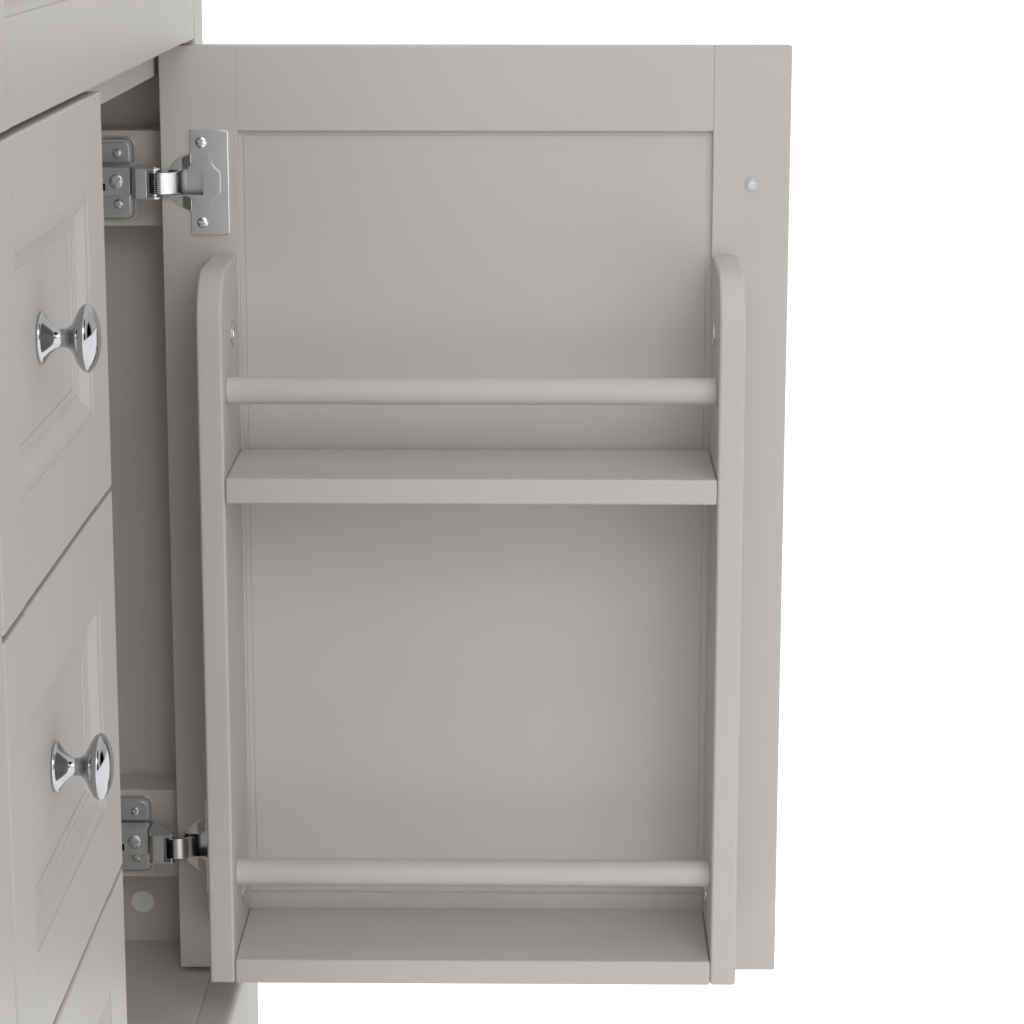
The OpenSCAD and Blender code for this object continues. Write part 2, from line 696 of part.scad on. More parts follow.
module upper_frame_shape() difference() {
    translate([gap/2, front_y, upper_z]) {
        stiles(upper_w, upper_h);
        rails(upper_w, upper_h);
    }
    at_right_hinges(upper_hinge_z) cup_bore();
    knob_hole_at(gap/2 + knob_edge, upper_knob_z);
}
module upper_panel_shape() translate([gap/2, front_y, upper_z]) panel(upper_w, upper_h);
module upper_knob_shape() translate([gap/2 + knob_edge, front_y, upper_knob_z]) knob(front_t + hair);

module right_door_frame() color(PAINT) upper_frame_shape();
module right_door_panel() color(PAINT) upper_panel_shape();
module right_door_knob() color(BRIGHT) upper_knob_shape();
module right_door_hinge_cups() color(BRIGHT) at_right_hinges(upper_hinge_z) hinge_cup_shape();
module right_door_hinge_links() color(BRIGHT) at_right_hinges(upper_hinge_z) link_closed() hinge_link_shape();
module left_door_frame() color(PAINT) mirror([1, 0, 0]) upper_frame_shape();
module left_door_panel() color(PAINT) mirror([1, 0, 0]) upper_panel_shape();
module left_door_knob() color(BRIGHT) mirror([1, 0, 0]) upper_knob_shape();
module left_door_hinge_cups() color(BRIGHT) at_left_hinges(upper_hinge_z) hinge_cup_shape();
module left_door_hinge_links() color(BRIGHT) at_left_hinges(upper_hinge_z) link_closed() hinge_link_shape();

corner_posts();
middle_rail();
deck_rail();
head_rail();
left_side_panel();
right_side_panel();
back_panel();
floor_panel();
base_bearers();
base_moulding();
divider();
drawer_deck();
upper_deck();
upper_shelves();
shelf_cleats();
top_panel();
crown_moulding();
hinge_blocks();
hinge_plates();
hinge_arms();
cam_covers();
runner_cleats();
runner_channels();
wide_drawer_front();
wide_drawer_box();
wide_drawer_knobs();
wide_drawer_runners();
top_drawer_front();
top_drawer_box();
top_drawer_knob();
top_drawer_runners();
centre_drawer_front();
centre_drawer_box();
centre_drawer_knob();
centre_drawer_runners();
bottom_drawer_front();
bottom_drawer_box();
bottom_drawer_knob();
bottom_drawer_runners();
rack_door_stiles();
rack_door_rails();
rack_door_panel();
rack_door_knob();
rack_door_hinge_cups();
rack_door_hinge_links();
rack_sides();
rack_shelves();
rack_dowels();
rack_cams();
left_door_frame();
left_door_panel();
left_door_knob();
left_door_hinge_cups();
left_door_hinge_links();
right_door_frame();
right_door_panel();
right_door_knob();
right_door_hinge_cups();
right_door_hinge_links();
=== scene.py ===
"""Pantry cabinet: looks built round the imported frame.

Painted boards are the CAD boards with eased edges. Door and drawer fronts are built up from
stiles, rails, a moulded surround and a panel. Hinges and knobs are modelled piece by piece.
"""
import json
import math

import bmesh
import bpy
from mathutils import Matrix, Vector

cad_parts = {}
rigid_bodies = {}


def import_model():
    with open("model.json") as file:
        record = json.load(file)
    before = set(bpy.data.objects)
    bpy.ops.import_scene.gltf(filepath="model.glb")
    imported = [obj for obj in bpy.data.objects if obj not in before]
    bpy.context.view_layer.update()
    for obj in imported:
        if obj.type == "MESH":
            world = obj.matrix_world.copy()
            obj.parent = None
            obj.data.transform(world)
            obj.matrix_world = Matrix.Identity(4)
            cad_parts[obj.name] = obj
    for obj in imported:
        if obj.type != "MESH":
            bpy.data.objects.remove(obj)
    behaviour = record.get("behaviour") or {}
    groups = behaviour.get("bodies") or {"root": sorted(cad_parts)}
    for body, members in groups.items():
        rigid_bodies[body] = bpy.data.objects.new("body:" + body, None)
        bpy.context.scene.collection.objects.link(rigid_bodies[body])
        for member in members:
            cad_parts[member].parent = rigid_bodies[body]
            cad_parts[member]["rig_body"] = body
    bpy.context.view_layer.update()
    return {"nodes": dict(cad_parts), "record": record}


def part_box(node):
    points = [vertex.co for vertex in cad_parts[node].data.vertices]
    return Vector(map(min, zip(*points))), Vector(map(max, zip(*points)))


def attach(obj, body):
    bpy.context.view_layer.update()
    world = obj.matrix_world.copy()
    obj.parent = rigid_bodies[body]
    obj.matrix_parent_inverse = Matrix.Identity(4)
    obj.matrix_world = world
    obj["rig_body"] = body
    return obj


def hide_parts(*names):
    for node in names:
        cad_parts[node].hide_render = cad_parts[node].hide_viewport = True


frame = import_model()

MM = 0.001

# ---------- sizes that the frame gives ----------

FLANGE_H = 62.5 * MM
FLANGE_EDGE = 18.0 * MM       # a door's edge to a hinge's flange
CUP_EDGE = 20.5 * MM          # a door's edge to the cup's middle
CUP_R, CUP_DEEP = 17.5 * MM, 11.5 * MM
PANEL_LAP = 7.8 * MM          # how far a panel goes into its groove
HAIR = 0.1 * MM
FRONT_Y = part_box("wide_drawer_front")[0].y
FRONT_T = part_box("wide_drawer_front")[1].y - FRONT_Y
POST_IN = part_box("head_rail")[1].x + 2 * HAIR      # inner edge of the posts
door_low, door_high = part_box("rack_door_stiles")
rail_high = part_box("rack_door_rails")[1]
panel_low, panel_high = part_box("rack_door_panel")
STILE_W = door_high.y - rail_high.y - HAIR
RAIL_W = panel_low.z + PANEL_LAP - door_low.z
PANEL_IN = door_high.x - panel_high.x              # front face to panel
PANEL_T = panel_high.x - panel_low.x
MOULD_W = 6.4 * MM
DOOR = (STILE_W, RAIL_W, MOULD_W)
DRAWER = (65.0 * MM, 58.5 * MM, 15.0 * MM)         # stile, rail and moulding of a drawer front
EDGE_R = 2.0 * MM             # a stile's long outer edge
HINGE_EDGE_R = 3.6 * MM       # the same, on the hinge side
RAIL_EDGE_R = 1.2 * MM
REAR_EDGE_R = 0.9 * MM
END_R = 0.8 * MM              # ends of the stiles
JOINT_V = 0.7 * MM            # half width of the fine V where stile and rail meet
KNOB_H, KNOB_R, KNOB_SCREW_H = 26.3 * MM, 15.0 * MM, 2.4 * MM

# hinge pivots in a hinge's own frame: X away from the opening, Y into the case, Z up
JOINTS = {j["name"]: Vector(j["pos_m"]) for j in frame["record"]["behaviour"]["joints"] if "pos_m" in j}


def own_frame(joint):
    """Where a joint's axis is in its hinge's own frame."""
    return JOINTS[joint].x - POST_IN, JOINTS[joint].y - FRONT_Y


ARM_PIVOT = own_frame("rack_door_link_turn")
CUP_OPEN = own_frame("rack_door_swing")
CUP_SHUT = own_frame("right_door_swing")
LINK_TURN = math.atan2(CUP_SHUT[1] - ARM_PIVOT[1], CUP_SHUT[0] - ARM_PIVOT[0]) - math.atan2(
    CUP_OPEN[1] - ARM_PIVOT[1], CUP_OPEN[0] - ARM_PIVOT[0])
GAP = 3.0 * MM                # round every inset front


# ---------- small helpers ----------

def linear(hex_colour):
    """An sRGB hex colour as linear RGBA."""
    rgb = [int(hex_colour[i:i + 2], 16) / 255 for i in (1, 3, 5)]
    return [c / 12.92 if c <= 0.04045 else ((c + 0.055) / 1.055) ** 2.4 for c in rgb] + [1.0]


def add(tree, kind, links=(), **settings):
    """Adds one node, with settings as inputs (by name) or properties, and links as {input: socket}."""
    node = tree.nodes.new(kind)
    for name, value in settings.items():
        label = name.replace("_", " ")
        if hasattr(node, name):
            setattr(node, name, value)
        elif label in node.inputs:
            node.inputs[label].default_value = value
        else:
            match = next(i for i in node.inputs if i.name.lower() == label.lower())
            match.default_value = value
    for name, socket in dict(links).items():
        tree.links.new(socket, node.inputs[name])
    return node


def new_material(name, base, roughness, metallic=0.0):
    """A material with its tree, its shader and the object's own coordinates."""
    material = bpy.data.materials.new(name)
    material.use_nodes = True
    tree = material.node_tree
    shader = tree.nodes["Principled BSDF"]
    shader.inputs["Base Color"].default_value = linear(base)
    shader.inputs["Roughness"].default_value = roughness
    shader.inputs["Metallic"].default_value = metallic
    place = add(tree, "ShaderNodeTexCoord").outputs["Object"]
    return material, tree, shader, place


def mix_colours(tree, factor, a, b):
    node = add(tree, "ShaderNodeMix", data_type="RGBA")
    tree.links.new(factor, node.inputs[0])
    node.inputs[6].default_value = linear(a)
    node.inputs[7].default_value = linear(b)
    return node.outputs[2]


def roughen(tree, shader, pattern, low, high):
    """Lets a pattern move the roughness between two values."""
    gloss = add(tree, "ShaderNodeMapRange", {"Value": pattern.outputs["Fac"]}, To_Min=low, To_Max=high)
    tree.links.new(gloss.outputs[0], shader.inputs["Roughness"])


def raise_bumps(tree, shader, pattern, strength, height):
    """Lets a pattern stand out of the surface; height is in metres."""
    bump = add(tree, "ShaderNodeBump", {"Height": pattern.outputs["Fac"]}, Strength=strength, Distance=height)
    tree.links.new(bump.outputs[0], shader.inputs["Normal"])


# ---------- materials ----------

def satin_paint():
    """Dove-grey satin lacquer, sprayed on primed hardwood and MDF: a soft sheen, a faint orange peel
    and a slow drift of tone where the coat is thicker."""
    material, tree, shader, place = new_material("satin_lacquer_dove_grey", "#ccc9c6", 0.42)
    shader.inputs["IOR"].default_value = 1.47
    drift = add(tree, "ShaderNodeTexNoise", {"Vector": place}, Scale=3.2, Detail=3.0, Roughness=0.55)
    spread = add(tree, "ShaderNodeMapRange", {"Value": drift.outputs["Fac"]}, From_Min=0.35, From_Max=0.65)
    tree.links.new(mix_colours(tree, spread.outputs[0], "#cac7c4", "#cecbc8"), shader.inputs["Base Color"])
    sheen = add(tree, "ShaderNodeTexNoise", {"Vector": place}, Scale=9.0, Detail=2.0)
    roughen(tree, shader, sheen, 0.36, 0.48)
    # orange peel: cells about 1.5 mm across, under 10 micrometres deep, drawn a little stronger to show
    peel = add(tree, "ShaderNodeTexNoise", {"Vector": place}, Scale=650.0, Detail=1.5)
    raise_bumps(tree, shader, peel, 0.06, 0.0002)
    return material


def interior_lacquer_lightened():
    """The same lacquer in a thinner, flatter coat on the inside of the case. Its colour is painted lighter
    than the outside lacquer's, to stand in for more light in the shaded interior.
    """
    material, tree, shader, place = new_material("flat_lacquer_inside_painted_light", "#d3d0cc", 0.55)
    drift = add(tree, "ShaderNodeTexNoise", {"Vector": place}, Scale=4.0, Detail=3.0)
    tree.links.new(mix_colours(tree, drift.outputs["Fac"], "#d0cdc9", "#d5d2ce"), shader.inputs["Base Color"])
    peel = add(tree, "ShaderNodeTexNoise", {"Vector": place}, Scale=500.0, Detail=2.0)
    raise_bumps(tree, shader, peel, 0.1, 0.0002)
    return material


def chrome_plate():
    """Chrome plate on turned zinc: a clear mirror, with the faintest smudges."""
    material, tree, shader, place = new_material("chrome_plate_polished", "#b4b5b8", 0.1, 1.0)
    smudge = add(tree, "ShaderNodeTexNoise", {"Vector": place}, Scale=60.0, Detail=4.0)
    roughen(tree, shader, smudge, 0.04, 0.1)
    return material


def nickel_plate():
    """Bright nickel plate on pressed steel: a softer mirror than chrome, with the roll's faint waviness."""
    material, tree, shader, place = new_material("nickel_plate_bright", "#dededf", 0.24, 1.0)
    wave = add(tree, "ShaderNodeTexNoise", {"Vector": place}, Scale=90.0, Detail=2.0)
    roughen(tree, shader, wave, 0.2, 0.3)
    raise_bumps(tree, shader, wave, 0.08, 0.0004)
    return material


def pressed_steel(name, colour, low, high):
    """Plated sheet steel with a satin finish: fine rolling lines, 0.4 mm apart, run along the length."""
    material, tree, shader, place = new_material(name, colour, low, 1.0)
    along = add(tree, "ShaderNodeMapping", {"Vector": place}, Scale=(400.0, 60.0, 2500.0))
    lines = add(tree, "ShaderNodeTexNoise", {"Vector": along.outputs[0]}, Scale=1.0, Detail=3.0)
    roughen(tree, shader, lines, low, high)
    raise_bumps(tree, shader, lines, 0.05, 0.0002)
    return material


def white_plastic():
    """Moulded polypropylene covers: off-white, with a fine soft texture."""
    material, tree, shader, place = new_material("polypropylene_white", "#f6f6f4", 0.4)
    grain = add(tree, "ShaderNodeTexNoise", {"Vector": place}, Scale=900.0, Detail=2.0)
    raise_bumps(tree, shader, grain, 0.12, 0.0002)
    return material


def dark_recess():
    """Oiled black steel, seen only down the slots of a hinge: the closing springs, and the flat marks laid on
    the arms at their slots, which are painted shade standing in for the open slots.
    """
    material, tree, shader, place = new_material("blackened_steel_and_painted_slot_shade", "#141414", 0.5, 0.6)
    grain = add(tree, "ShaderNodeTexNoise", {"Vector": place}, Scale=1500.0)
    raise_bumps(tree, shader, grain, 0.2, 0.0001)
    return material


PAINT = satin_paint()
INSIDE_LIGHTENED = interior_lacquer_lightened()
CHROME = chrome_plate()
NICKEL = nickel_plate()
PLATE = pressed_steel("nickel_plate_satin", "#dadadb", 0.26, 0.38)
ZINC = pressed_steel("zinc_plate_satin", "#d0d1d3", 0.32, 0.46)
COVER = white_plastic()
DARK = dark_recess()


# ---------- mesh helpers ----------

def keep_piece(mesh, name, body, material, replaces=(), smooth_angle=35):
    mesh.name = name
    piece = bpy.data.objects.new(name, mesh)
    bpy.context.scene.collection.objects.link(piece)
    if not mesh.materials:
        mesh.materials.append(material)
    mesh.shade_smooth()
    mesh.set_sharp_from_angle(angle=math.radians(smooth_angle))
    # keeps broad faces flat beside eased edges
    even = piece.modifiers.new("even_shading", "WEIGHTED_NORMAL")
    even.keep_sharp, even.weight = True, 80
    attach(piece, body)
    if replaces:
        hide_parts(*replaces)
    return piece


def bake(bm, name):
    mesh = bpy.data.meshes.new(name)
    bm.to_mesh(mesh)
    bm.free()
    return mesh


def body_of(node):
    """The body that carries a CAD node."""
    return frame["nodes"][node]["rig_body"]


def eased_copy(node, radius, segments=2, material=None, angle=40):
    """The CAD node's own shape with its sharp edges eased."""
    bm = bmesh.new()
    bm.from_mesh(frame["nodes"][node].data)
    bmesh.ops.remove_doubles(bm, verts=bm.verts, dist=1e-6)
    bmesh.ops.dissolve_limit(bm, angle_limit=math.radians(2), verts=bm.verts, edges=bm.edges)
    sharp = [e for e in bm.edges if e.is_manifold and e.calc_face_angle(0) > math.radians(angle)]
    bmesh.ops.bevel(bm, geom=sharp, offset=radius, segments=segments, profile=0.5, affect="EDGES",
                    clamp_overlap=True)
    return keep_piece(bake(bm, node), node + "_eased", body_of(node), material or PAINT, (node,))


def add_board(bm, low, high, radii, segments=3):
    """A board from corner to corner. radii gives the radius of each group of edges: a list of
    (test, radius), where test(edge's direction, edge's middle) picks edges; the rest are left sharp."""
    verts = [bm.verts.new((x, y, z))
             for x in (low.x, high.x) for y in (low.y, high.y) for z in (low.z, high.z)]
    faces = [(0, 1, 3, 2), (4, 6, 7, 5), (0, 4, 5, 1), (2, 3, 7, 6), (0, 2, 6, 4), (1, 5, 7, 3)]
    made = [bm.faces.new([verts[i] for i in f]) for f in faces]
    for test, radius in radii:
        edges = []
        for e in {e for f in made if f.is_valid for e in f.edges}:
            if not e.is_valid:
                continue
            a, b = e.verts[0].co, e.verts[1].co
            if (b - a).length < 4 * radius:
                continue
            if test((b - a).normalized(), (a + b) / 2):
                edges.append(e)
        if edges:
            out = bmesh.ops.bevel(bm, geom=edges, offset=radius, segments=segments, profile=0.5,
                                  affect="EDGES", clamp_overlap=True)
            made = [f for f in made if f.is_valid] + [f for f in out["faces"] if f.is_valid]


def near(a, b, tolerance=0.05 * MM):
    return abs(a - b) < tolerance


def skin(bm, a, b):
    """Faces between two rings that have as many points as each other."""
    n = len(a)
    return [bm.faces.new((a[k], a[(k + 1) % n], b[(k + 1) % n], b[k])) for k in range(n)]


def along_curve(a, b, c, d, t):
    """The point at t, from 0 at b to 1 at c, on the smooth curve through a, b, c and d."""
    return 0.5 * (2 * b + (c - a) * t + (2 * a - 5 * b + 4 * c - d) * t ** 2
                  + (3 * b - a - 3 * c + d) * t ** 3)


def prism(outline, low, high):
    """An outline in plan, given in millimetres, standing from height low to high."""
    bm = bmesh.new()
    rings = [[bm.verts.new((x * MM, y * MM, z * MM)) for x, y in outline] for z in (low, high)]
    bm.faces.new(rings[0][::-1])
    bm.faces.new(rings[1])
    skin(bm, *rings)
    bmesh.ops.recalc_face_normals(bm, faces=bm.faces)
    return bm


def soft(bm, radius, segments=2, angle=28):
    """Rounds the sharp edges of a piece; radius in millimetres."""
    edges = [e for e in bm.edges if e.is_manifold and e.calc_face_angle(0) > math.radians(angle)]
    bmesh.ops.bevel(bm, geom=edges, offset=radius * MM, segments=segments, profile=0.5, affect="EDGES",
                    clamp_overlap=True)
    return bm


def on_side(bm):
    """Turns a prism drawn in (depth, height) so that it stands on its side: its own height goes along X."""
    bm.transform(Matrix(((0, 0, 1, 0), (1, 0, 0, 0), (0, 1, 0, 0), (0, 0, 0, 1))))
    return bm


def on_face(bm):
    """Turns a prism drawn in (across, height) so that its own height goes along Y."""
    bm.transform(Matrix(((1, 0, 0, 0), (0, 0, 1, 0), (0, 1, 0, 0), (0, 0, 0, 1))))
    bmesh.ops.recalc_face_normals(bm, faces=bm.faces)
    return bm


def rounded(outline, radii, steps=5):
    """An outline with its corners rounded; radii is one radius or one for each corner."""
    out, n = [], len(outline)
    radii = radii if isinstance(radii, (list, tuple)) else [radii] * n
    for k in range(n):
        here, before, after = Vector(outline[k]), Vector(outline[k - 1]), Vector(outline[(k + 1) % n])
        if radii[k] <= 0:
            out.append(tuple(here))
            continue
        a, b = (before - here).normalized(), (after - here).normalized()
        half = a.angle(b) / 2
        reach = min(radii[k] / math.tan(half), 0.49 * (before - here).length, 0.49 * (after - here).length)
        p, q = here + a * reach, here + b * reach
        for i in range(steps + 1):
            t = i / steps
            out.append(tuple((1 - t) ** 2 * p + 2 * t * (1 - t) * here + t * t * q))
    return out


def box_outline(x0, x1, y0, y1):
    return [(x0, y0), (x1, y0), (x1, y1), (x0, y1)]


def thick_line(points, half, steps=6):
    """The outline of a strip of sheet whose middle runs smoothly through points."""
    pts = [Vector(p) for p in points]
    pts = [2 * pts[0] - pts[1]] + pts + [2 * pts[-1] - pts[-2]]
    middle = []
    for i in range(1, len(pts) - 2):
        a, b, c, d = pts[i - 1:i + 3]
        for k in range(steps):
            middle.append(along_curve(a, b, c, d, k / steps))
    middle.append(pts[-2])
    left, right = [], []
    for i, p in enumerate(middle):
        along = (middle[min(i + 1, len(middle) - 1)] - middle[max(i - 1, 0)]).normalized()
        across = Vector((-along.y, along.x)) * half
        left.append(tuple(p + across))
        right.append(tuple(p - across))
    return left + right[::-1]


def rod(x, y, low, high, radius, sides=28):
    """An upright pin with eased ends; all in millimetres."""
    bm = cylinder_between((x * MM, y * MM, low * MM), (x * MM, y * MM, high * MM), radius * MM, sides)
    return soft(bm, 0.25, 2, 60)


def in_mm(pair):
    return pair[0] / MM, pair[1] / MM


def hexagon(radius):
    return [(radius * math.cos(math.pi / 3 * k), radius * math.sin(math.pi / 3 * k)) for k in range(6)]


# ---------- frame-and-panel fronts ----------

def ogee_profile(w):
    """The moulding's section, as (distance in from the frame's face edge, depth below the face):
    a fillet, an S-shaped slope and a small bead down to the panel."""
    d = PANEL_IN
    fillet_w, fillet_d = 0.12 * w, 0.1 * d
    slope_w, slope_d = 0.64 * w, 0.66 * d
    bead_at, bead_w, bead_d = 0.8 * w, 0.19 * w, 0.82 * d
    slope_steps, bead_steps = 10, 4
    points = [(0, fillet_d), (fillet_w, fillet_d)]
    for i in range(1, slope_steps + 1):
        t = i / slope_steps
        ease = t - math.sin(2 * math.pi * t) / (2 * math.pi)
        points.append((fillet_w + slope_w * t, fillet_d + slope_d * ease))
    points += [(0.79 * w, fillet_d + slope_d), (bead_at, bead_d)]
    for i in range(1, bead_steps + 1):
        a = math.pi / 2 * i / bead_steps
        points.append((bead_at + bead_w * math.sin(a), bead_d + (d - bead_d) * (1 - math.cos(a))))
    return points


def add_surround(bm, w, h, widths):
    """The mitred moulding round the panel opening, as one closed ring in the frame's rebate."""
    stile_w, rail_w, mould_w = widths
    section = ogee_profile(mould_w) + [(mould_w, PANEL_IN), (0, PANEL_IN)]
    x0, z0 = stile_w - mould_w, rail_w - mould_w
    loops = []
    for s, d in section:
        loops.append([bm.verts.new((x, d, z)) for x, z in (
            (x0 + s, z0 + s), (w - x0 - s, z0 + s), (w - x0 - s, h - z0 - s), (x0 + s, h - z0 - s))])
    made = []
    for this, following in zip(loops, loops[1:] + loops[:1]):
        made += skin(bm, this, following)
    bmesh.ops.recalc_face_normals(bm, faces=made)


def add_panel(bm, w, h, widths):
    """The panel, with a shallow step round its back where it is thinned to fit the groove."""
    step, slope, in_from_edge = 0.5 * MM, 0.4 * MM, 3.5 * MM
    x0, z0 = widths[0] - PANEL_LAP, widths[1] - PANEL_LAP
    x1, z1 = widths[0] + in_from_edge, widths[1] + in_from_edge
    back, face = PANEL_IN + PANEL_T - step, PANEL_IN
    rings = [(x0, z0, face), (x0, z0, back), (x1 - slope, z1 - slope, back), (x1, z1, back + step)]
    loops = [[bm.verts.new((x, y, z)) for x, z in ((a, b), (w - a, b), (w - a, h - b), (a, h - b))]
             for a, b, y in rings]
    made = [bm.faces.new(loops[0])]
    for a, b in zip(loops, loops[1:]):
        made += skin(bm, a, b)
    made.append(bm.faces.new(loops[-1][::-1]))
    bmesh.ops.recalc_face_normals(bm, faces=made)


def add_frame(bm, w, h, widths, hinge_side=None, cups=()):
    """Two stiles and two rails, rebated in front for the moulding, with a fine V at each joint. cups are
    (x, z) of the hinge cups bored into a stile from behind."""
    t = FRONT_T
    stile_w, rail_w, mould_w = widths
    face_x, face_z = stile_w - mould_w, rail_w - mould_w
    face, full, deep, back = face_x / MM, stile_w / MM, PANEL_IN / MM, t / MM
    bore_r, bore_deep, past_rear = CUP_R + 0.1 * MM, CUP_DEEP + 0.3 * MM, 5 * MM
    for side in ("left", "right"):
        front_r = HINGE_EDGE_R if side == hinge_side else EDGE_R
        section = rounded([(0, 0), (face, 0), (face, deep), (full, deep), (full, back), (0, back)],
                          [front_r / MM, JOINT_V / MM, 0, 0, JOINT_V / MM, REAR_EDGE_R / MM], 5)
        stile = prism(section, 0, h / MM)
        if side == "right":
            stile.transform(Matrix.Translation((w, 0, 0)) @ Matrix.Diagonal((-1, 1, 1, 1)))
        bmesh.ops.recalc_face_normals(stile, faces=stile.faces)
        ends = [e for e in stile.edges if near(e.verts[0].co.z, e.verts[1].co.z)]
        bmesh.ops.bevel(stile, geom=ends, offset=END_R, segments=2, profile=0.5, affect="EDGES",
                        clamp_overlap=True)
        board = bake(stile, "stile")
        bores = [cylinder_between((x, t - bore_deep, z), (x, t + past_rear, z), bore_r)
                 for x, z in cups if side == hinge_side]
        bm.from_mesh(cut(board, bores) if bores else board)
    for at_top in (False, True):
        outer = h if at_top else 0
        front = sorted((outer, h - face_z if at_top else face_z))
        rear = sorted((outer, h - rail_w if at_top else rail_w))
        add_board(bm, Vector((face_x, 0, front[0])), Vector((w - face_x, PANEL_IN, front[1])), [
            (lambda d, m, o=outer: abs(d.x) > 0.9 and near(m.z, o) and near(m.y, 0), RAIL_EDGE_R),
            (lambda d, m: abs(d.z) > 0.9 and near(m.y, 0), JOINT_V)])
        add_board(bm, Vector((stile_w, PANEL_IN, rear[0])), Vector((w - stile_w, t, rear[1])), [
            (lambda d, m, o=outer: abs(d.x) > 0.9 and near(m.z, o) and near(m.y, t), REAR_EDGE_R),
            (lambda d, m: abs(d.z) > 0.9 and near(m.y, t), JOINT_V)])


def cut(mesh, cutters):
    """Cuts closed shapes, given as bmeshes, out of a mesh."""
    target = bpy.data.objects.new("cut_target", mesh)
    bpy.context.scene.collection.objects.link(target)
    tools = []
    for cutter in cutters:
        tool = bpy.data.objects.new("cutter", bake(cutter, "cutter"))
        bpy.context.scene.collection.objects.link(tool)
        modifier = target.modifiers.new("cut", "BOOLEAN")
        modifier.operation, modifier.solver, modifier.object = "DIFFERENCE", "EXACT", tool
        tools.append(tool)
    result = bpy.data.meshes.new_from_object(target.evaluated_get(bpy.context.evaluated_depsgraph_get()))
    for o in tools + [target]:
        bpy.data.objects.remove(o)
    return result


def cylinder_between(start, end, radius, sides=48):
    bm = bmesh.new()
    start, end = Vector(start), Vector(end)
    axis = end - start
    turn = axis.to_track_quat("Z", "Y").to_matrix().to_4x4()
    bmesh.ops.create_cone(bm, cap_ends=True, segments=sides, radius1=radius, radius2=radius,
                          depth=axis.length, matrix=Matrix.Translation((start + end) / 2) @ turn)
    return bm


def box_bmesh(low, high):
    bm = bmesh.new()
    add_board(bm, Vector(low), Vector(high), [])
    return bm


def front_mesh(w, h, widths, hinge_side=None, cups=()):
    """A whole front in its own place: lower left corner of its face at the origin, depth along +Y."""
    bm = bmesh.new()
    add_frame(bm, w, h, widths, hinge_side, cups)
    add_surround(bm, w, h, widths)
    add_panel(bm, w, h, widths)
    return bake(bm, "front")


def drawer_fronts():
    for name in ("wide_drawer", "top_drawer", "centre_drawer", "bottom_drawer"):
        low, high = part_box(name + "_front")
        mesh = front_mesh(high.x - low.x, high.z - low.z, DRAWER)
        mesh.transform(Matrix.Translation(low))
        keep_piece(mesh, name + "_front_joinery", name, PAINT, (name + "_front",))


def hinge_heights(node):
    """Heights of the middles of a door's hinges, from its two cups' boxes."""
    low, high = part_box(node)
    half = FLANGE_H / 2
    return low.z + half, high.z - half


def rack_door():
    low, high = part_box("rack_door_stiles")
    w, h = high.y - low.y, high.z - low.z
    heights = [z - low.z for z in hinge_heights("rack_door_hinge_cups")]
    # drawn closed with its hinges on the right; a quarter turn brings its face to +X and its hinge edge to +Y
    mesh = front_mesh(w, h, DOOR, "right", cups=[(w - CUP_EDGE, z) for z in heights])
    mesh.transform(Matrix.Translation((high.x, low.y, low.z)) @ Matrix.Rotation(math.pi / 2, 4, "Z"))
    keep_piece(mesh, "rack_door_joinery", "rack_door", PAINT,
               ("rack_door_stiles", "rack_door_rails", "rack_door_panel"))


def upper_doors():
    for side in ("left", "right"):
        low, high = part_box(side + "_door_frame")
        w, h = high.x - low.x, high.z - low.z
        heights = [z - low.z for z in hinge_heights(side + "_door_hinge_cups")]
        x = w - CUP_EDGE if side == "right" else CUP_EDGE
        mesh = front_mesh(w, h, DOOR, side, cups=[(x, z) for z in heights])
        mesh.transform(Matrix.Translation(low))
        keep_piece(mesh, side + "_door_joinery", side + "_door", PAINT,
                   (side + "_door_frame", side + "_door_panel"))


# ---------- knobs ----------

def knob_profile():
    """Half outline of the turned knob as (radius, height off the face): a smooth curve through marks in
    millimetres for a flared foot, a slim waist, a trumpet-shaped back and a domed head."""
    marks = [(11.3, 0.0), (11.6, 0.7), (11.1, 1.9), (9.2, 3.0), (7.0, 4.5), (4.9, 6.8), (4.0, 9.2),
             (4.2, 11.4), (5.5, 13.3), (8.4, 15.1), (11.8, 16.8), (14.1, 18.5), (14.95, 20.2),
             (14.7, 21.5), (13.2, 23.0), (10.4, 24.5), (7.0, 25.6), (3.4, 26.15), (0.0, KNOB_H / MM)]
    before = 2 * Vector(marks[0]) - Vector(marks[1])
    after = Vector((-marks[-2][0], marks[-2][1]))
    points = [before] + [Vector(p) for p in marks] + [after]
    out = []
    for a, b, c, d in zip(points, points[1:], points[2:], points[3:]):
        for t in (0, 0.25, 0.5, 0.75):
            p = along_curve(a, b, c, d, t)
            out.append((max(p.x, 0) * MM, max(p.y, 0) * MM))
    return out + [(0, KNOB_H)]


def lathe(profile, sides=64):
    """Turns an outline of (radius, height) round Z into a closed mesh."""
    bm = bmesh.new()
    rings, on_axis = [], 1e-7
    angles = [2 * math.pi * k / sides for k in range(sides)]
    for radius, z in profile:
        if radius < on_axis:
            rings.append([bm.verts.new((0, 0, z))])
        else:
            rings.append([bm.verts.new((radius * math.cos(a), radius * math.sin(a), z)) for a in angles])
    for a, b in zip(rings, rings[1:]):
        for k in range(sides):
            j = (k + 1) % sides
            if len(b) == 1:
                bm.faces.new((a[k], a[j], b[0]))
            elif len(a) == 1:
                bm.faces.new((a[0], b[j], b[k]))
            else:
                bm.faces.new((a[k], a[j], b[j], b[k]))
    if len(rings[0]) > 1:
        bm.faces.new(rings[0][::-1])
    if len(rings[-1]) > 1:
        bm.faces.new(rings[-1])
    return bm


